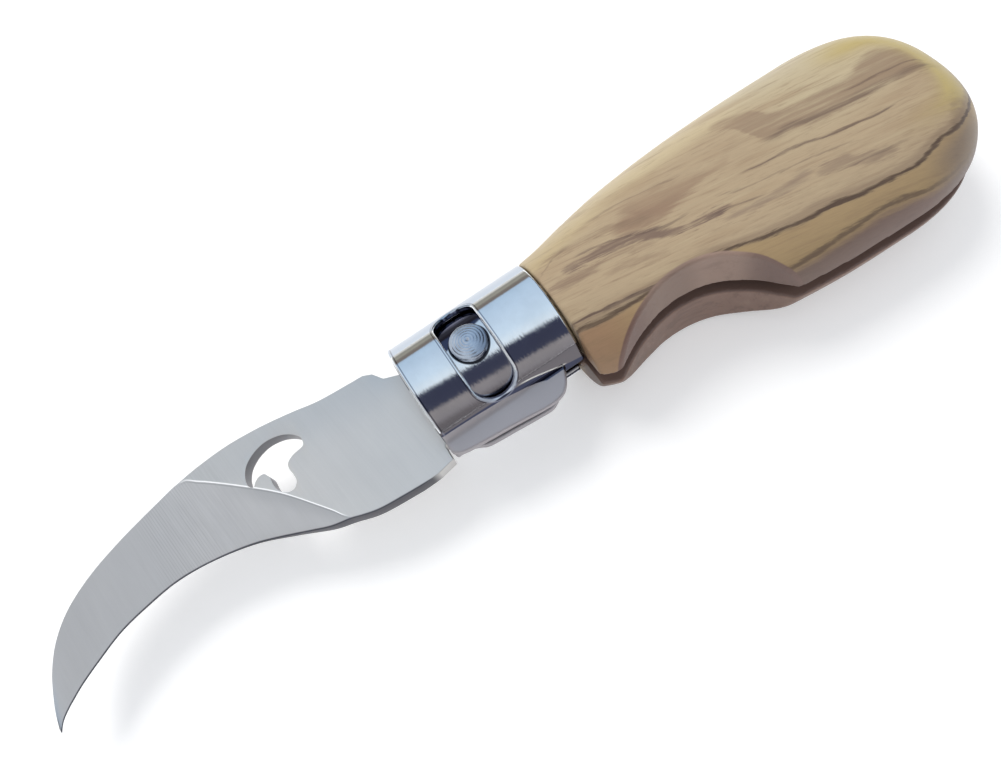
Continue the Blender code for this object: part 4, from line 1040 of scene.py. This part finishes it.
def ring_steel():
    """Bright steel, with satin lips, a painted dark reflection above them, and other painted reflections
    and shade.
    """
    t = PartLook("ring_polished")
    cloud, angle = t.noise(t.place, *CLOUD), t.angle()
    # Degrees above the line where the painted dark reflection begins and above the line where the satin
    # lips begin
    over_line, over_lip = [angle - t.curve(t.x, line, *RING_LINE_REACH)
                           for line in (DARK_LINE, LIP_LINE)]
    # Millimetres from the near window's rim
    arc = t.most(NEAR_WINDOW[0] - angle, angle - NEAR_WINDOW[1])
    arc = t.most(arc, 0) * math.radians(RING_OUTER)
    beside = t.distance(t.x, arc) - WINDOW_HALF
    near = t.span(t.z, 0.5, 1.5)
    rim = t.span(beside, 0.42, 0.34) * t.span(angle, -47, -51) * near
    glint = t.stripe(over_line, 1, 0.9, 0.3) * t.within(t.x, 2.2, 4.2, 9.8, 10.6)
    satin = t.most(t.span(over_lip, 0.5, -0.5), t.span(t.y, -9.9, -10.1))
    satin = satin * t.span(t.x, NEAR_LIP_END - 0.1, NEAR_LIP_END - 0.5)
    # Painted dark reflections: thin lines beside the rounded rims
    line = t.most(t.stripe(beside, 0.48, 0.12, 0.04) * near,
                  t.stripe(t.x, RING_FRONT + 0.50, 0.13, 0.05))
    colour = t.layers(
        (0.86, 0.87, 0.885),
        ((0.80, 0.81, 0.825), t.span(cloud, 0.35, 0.65)),
        # Painted reflection: darker blue-grey towards the spine
        ((0.48, 0.53, 0.60), t.span(angle, 28.2, 29.8)),
        # Painted dark reflection towards the belly, beyond about 58 degrees below the near side
        ((0.135, 0.125, 0.135), t.span(angle, -58.15, -58.65), 1 - rim),
        # Painted reflection on the near window's rounded rim
        ((0.52, 0.56, 0.64), rim),
        ((0.62, 0.61, 0.58), glint),
        # Painted dark reflection between the dark line and the satin lips
        ((0.05, 0.055, 0.09), t.span(over_line, 0.4, -0.4)),
        ((0.42, 0.395, 0.41), satin),
        ((0.20, 0.21, 0.26), line, 1 - satin, 0.8),
        # Painted shade inside the bore and on the inner half of the ends
        ((0.11, 0.12, 0.18), t.span(t.distance(t.y, t.z), 9.80, 9.68)))
    dull = satin * 0.3 + t.most(rim, glint) * 0.5
    # Scratches round the ring make the edges of the reflections ragged
    scratches = t.noise(t.join(t.x * 3.6, t.y * 0.9, t.z * 0.9), 1, 3, 0.6)
    return t.dress({"Base Color": colour,
                    "Metallic": t.math("SUBTRACT", 1, dull, clamp=True),
                    "Roughness": t.span(cloud, 0.3, 0.7, 0.05, 0.09) + satin * 0.42,
                    "Normal": t.bump(scratches, 0.38, 0.00002)})


def ferrule_steel():
    """Bright steel, with painted shade where the window's spine end keeps the light off and towards the
    belly, and a painted contact shadow round the rivet.
    """
    t = PartLook("ferrule_polished")
    cloud, angle = t.noise(t.place, *CLOUD), t.angle()
    head = t.distance(t.x, t.y + HEAD_DROP)
    colour = t.layers(
        (0.84, 0.85, 0.87),
        ((0.78, 0.79, 0.81), t.span(cloud, 0.35, 0.65)),
        # Painted shade where the window's spine end keeps the light off
        ((0.06, 0.065, 0.11), t.span(angle + t.x * -1.6, 6, 9)),
        # Painted shadow towards the belly, at the window's belly end
        ((0.09, 0.09, 0.11), t.span(angle, -55.5, -59)),
        # Painted contact shadow round the rivet's head
        ((0.03, 0.032, 0.04), t.span(head, HEAD_RADIUS + 0.30, HEAD_RADIUS + 0.12)))
    scratches = t.noise(t.join(t.x * 3.6, t.y, t.z), 1, 3, 0.6)
    return t.dress({"Base Color": colour, "Metallic": 1,
                    "Roughness": t.span(cloud, 0.3, 0.7, 0.07, 0.12),
                    "Normal": t.bump(scratches, 0.5, 0.00002)})


def rivet_turned():
    """Grey steel, with painted shade towards the belly and the butt."""
    t = PartLook("rivet_turned")
    cloud = t.noise(t.place, 0.6, 3, 0.6)
    away = t.x + t.y * -0.9
    colour = t.layers(
        (0.52, 0.57, 0.65),
        ((0.46, 0.51, 0.59), t.span(cloud, 0.35, 0.65)),
        # Painted shade towards the belly and the butt
        ((0.20, 0.22, 0.28), t.span(away, 1.2, 4.2), 0.65))
    return t.dress({"Base Color": colour, "Metallic": 1,
                    "Roughness": t.span(cloud, 0.3, 0.7, 0.2, 0.28),
                    "Normal": t.bump(t.noise(t.place, 2.2, 3, 0.6), 0.02, 0.00003)})


def blade_tones(t, below):
    """Tone of the flat, darker in the nick, and of the bevel, by the way below the grind line."""
    x, y = t.x, t.y
    cloud = t.noise(t.place, 0.10, 2, 0.5)
    nick = t.distance(x + CUT_OUT_REACH, y - CUT_OUT_HEIGHT)
    flat = t.layers(
        (0.645, 0.625, 0.605),
        ((0.625, 0.607, 0.590), t.span(cloud, 0.35, 0.65)),
        ((0.545, 0.545, 0.545), t.span(y, 0.5, 9), 0.85),
        ((0.21, 0.21, 0.225), t.span(t.side, 1.10, 0.96), t.span(nick, 6.6, 6.2)))
    slant = t.layers(
        (0.585, 0.575, 0.575),
        ((0.560, 0.552, 0.555), t.span(cloud, 0.35, 0.65)),
        ((0.48, 0.475, 0.48), t.span(below, 4, 0), t.span(x, -46, -38), 0.9),
        ((0.525, 0.520, 0.525), t.span(x, -48, -60), 0.8))
    return flat, slant


def blade_satin():
    """Satin steel with a painted highlight and a painted dark line along the grind line, fine grinding
    marks across and a dark edge.
    """
    t = PartLook("blade_satin")
    x, y, z = t.x, t.y, t.z
    _, grind, edge = blade_lines()
    start, end = [-HEEL_REACH - share * BLADE_LENGTH for share in GRIND_LINE_SHARES]
    grind_line = [tuple(p[:2]) for p in grind[(grind[:, 0] < start) & (grind[:, 0] > end)][::-3]]
    edge_line = [tuple(p[:2]) for p in edge[edge[:, 0] < -HEEL_REACH][::-5]]
    tip_x, line_x, heel_x = -HEEL_REACH - BLADE_LENGTH, grind_line[0][0], grind_line[-1][0]
    below = t.curve(x, grind_line, tip_x, 0) - y
    over_edge = y - t.curve(x, edge_line, tip_x, 0)
    bevelled = t.span(below, -0.02, 0.12) * t.span(x, heel_x + 0.4, heel_x)
    slanted = x + y * MARKS_SLANT
    marks = t.noise(t.join(slanted * 3.4, y * 0.10, z), 1, 3, 0.7)
    broad = t.noise(t.join(slanted * 0.55, y * 0.06, z), 1, 2, 0.6)
    contrast = 0.10 + t.within(x, -64, -54, -48, -38) * 0.22
    shade = 1 + (marks - 0.5) * contrast
    shade = shade + (broad - 0.5) * 0.08
    # Even grooves that the wheel left where the blade turns down
    wave = t.math("SINE", slanted * 14.6 + marks * 2.4)
    grooves = t.span(wave, 0.2, 0.95) * t.within(x, -60.5, -57, -52, -47)
    grooves = grooves * t.span(broad, 0.30, 0.55, 0.35, 1) * bevelled * 0.13
    colour = t.shaded(t.mix(bevelled, *blade_tones(t, below)), shade - grooves)
    along = t.within(x, line_x - 1, line_x + 3, heel_x - 1.2, heel_x + 0.2)
    # Painted highlight along the grind line
    bright = t.stripe(below, -0.06, 0.20, 0.08) * along
    colour = t.layers(
        colour,
        # Painted dark line just under the grind line
        ((0.30, 0.30, 0.31), t.stripe(below, 0.30, 0.24, 0.06), along, 0.45),
        ((0.97, 0.97, 0.97), bright),
        ((0.05, 0.05, 0.065), t.span(over_edge, 0.34, 0.12),
         t.span(x, -HEEL_REACH + 0.4, -HEEL_REACH - 0.4), 0.92))
    return t.dress({"Base Color": colour,
                    "Metallic": 0.8 - bright * 0.55,
                    "Roughness": t.span(marks, 0.3, 0.7, 0.34, 0.40),
                    "Normal": t.bump(marks, 0.10, 0.00003)})


# Stage, light and camera

# Angle from straight up towards the spine side, and the colour that metal reflects there
REFLECTED = [(-180, (0.20, 0.18, 0.19)), (-94, (0.13, 0.12, 0.13)), (-80, (0.15, 0.135, 0.145)),
             (-72, (0.25, 0.235, 0.25)), (-53, (0.29, 0.27, 0.275)), (-49, (0.045, 0.05, 0.085)),
             (-17, (0.04, 0.045, 0.08)), (-13, (0.80, 0.90, 0.98)), (6, (0.66, 0.81, 0.96)),
             (35, (0.56, 0.71, 0.88)), (62, (0.47, 0.62, 0.79)), (66, (0.20, 0.17, 0.155)),
             (72, (0.22, 0.20, 0.18)), (76, (0.36, 0.35, 0.30)), (83, (0.30, 0.29, 0.26)),
             (87, (0.72, 0.72, 0.68)), (94, (0.72, 0.72, 0.70)), (99, (0.52, 0.56, 0.63)),
             (180, (0.40, 0.36, 0.30))]
WHITE, STRIP_DARK = (1, 1, 1), (0.06, 0.06, 0.08)
SKY, DAYLIGHT, BACKDROP = (0.84, 0.88, 0.92), (0.92, 0.95, 1), (0.8, 0.8, 0.8)
# Place and width in metres, power in watts and colour of each lamp
LAMPS = {"key": ((-0.10, 0.55, 0.75), 0.55, 5.2, (1, 0.985, 0.96)),
         "fill": ((0.30, -0.65, 0.55), 0.60, 1.3, (0.94, 0.96, 1))}
# The photo's camera: place in the pivot frame, turns in degrees about X, Y and Z, and lens
CAMERA_PLACE = (-4.897, -59.188, 106.264)
CAMERA_TURNS = (24.1953, 12.6278, -31.6572)
SENSOR_WIDTH, PHOTO_WIDTH, FOCAL_PIXELS = 36, 1001, 775


def stage():
    """A pale floor that looks brighter than it lights."""
    bpy.ops.mesh.primitive_plane_add(size=4)
    floor = bpy.context.object
    floor.name = "floor"
    t = Look("pale_floor")
    seen, glossy, through = [t.value("ShaderNodeLightPath", (), "Is %s Ray" % kind)
                             for kind in ("Camera", "Glossy", "Transmission")]
    seen = t.most(t.most(seen, glossy), through)
    floor.data.materials.append(t.dress({
        "Base Color": (0.80, 0.80, 0.80), "Roughness": 0.9, "Specular IOR Level": 0,
        "Emission Color": WHITE, "Emission Strength": seen * 0.32}))


def reflected_room(t):
    """The room that metal reflects: bands about the ring's axis, and a strip far to each side."""
    x, y, z = t.split(t.value("ShaderNodeTexCoord", (), "Generated"))
    turn = t.math("ARCTAN2", y, z)
    lean = t.span(turn, math.radians(50), 0, 0, math.radians(100), form="LINEAR") * x
    share = t.span(turn + lean, -math.pi, math.pi, form="LINEAR")
    bands = t.ramp(share, [((angle + 180) / 360, colour) for angle, colour in REFLECTED])
    # The dark things stand over the handle's end only, so that the blade reflects bright sky
    sky = t.mix(t.span(x, -0.22, -0.08), SKY, bands)
    # A dark strip far to each side draws a line along the rounded rims
    strip = t.ramp(abs(x), [(0.60, WHITE), (0.64, STRIP_DARK), (0.80, STRIP_DARK), (0.84, WHITE)])
    return t.mix(1, sky, strip, "MULTIPLY")


def light():
    """Even daylight with the room for reflections, and two lamps."""
    world = bpy.data.worlds.new("studio")
    bpy.context.scene.world = world
    t = Tree(world)
    t.tree.nodes.clear()
    grounds = ((DAYLIGHT, 0.62), (reflected_room(t), 1), (BACKDROP, 1))
    plain, banded, backdrop = [t.value("ShaderNodeBackground", ground) for ground in grounds]
    glossy, seen = [t.value("ShaderNodeLightPath", (), "Is %s Ray" % kind) for kind in ("Glossy", "Camera")]
    lit = t.value("ShaderNodeMixShader", (glossy, plain, banded))
    t.node("ShaderNodeOutputWorld", (t.value("ShaderNodeMixShader", (seen, lit, backdrop)),))
    for name, (place, size, power, colour) in LAMPS.items():
        data = bpy.data.lights.new(name, "AREA")
        data.shape = "DISK"
        data.size = size
        data.energy = power
        data.color = colour
        lamp = bpy.data.objects.new(name, data)
        lamp.location = place
        lamp.rotation_euler = (-Vector(place)).to_track_quat("-Z", "Y").to_euler()
        lamp.visible_glossy = False
        bpy.context.scene.collection.objects.link(lamp)


def camera():
    """The photo's close-range camera."""
    data = bpy.data.cameras.new("view")
    data.sensor_fit = "HORIZONTAL"
    data.sensor_width = SENSOR_WIDTH
    data.lens = SENSOR_WIDTH * FOCAL_PIXELS / PHOTO_WIDTH
    data.clip_start = 0.005
    data.clip_end = 20
    item = bpy.data.objects.new("view", data)
    item.location = PIVOT + Vector(CAMERA_PLACE) * MM
    item.rotation_euler = [math.radians(turn) for turn in CAMERA_TURNS]
    bpy.context.scene.collection.objects.link(item)
    bpy.context.scene.camera = item


solid("lock_ring_polished", ring_distance, RING_GRID, "lock_ring", "lock_ring", ring_steel())
solid("inner_ferrule_polished", ferrule_distance, FERRULE_GRID,
      "inner_ferrule", "handle", ferrule_steel())
solid("pivot_rivet_turned", rivet_distance, RIVET_GRID,
      "pivot_rivet", "handle", rivet_turned())
solid("handle_shaped", handle_form(), HANDLE_GRID, "handle", "handle", wood())
build_blade(blade_satin())
stage()
light()
camera()
bpy.context.scene.view_settings.view_transform = "Standard"
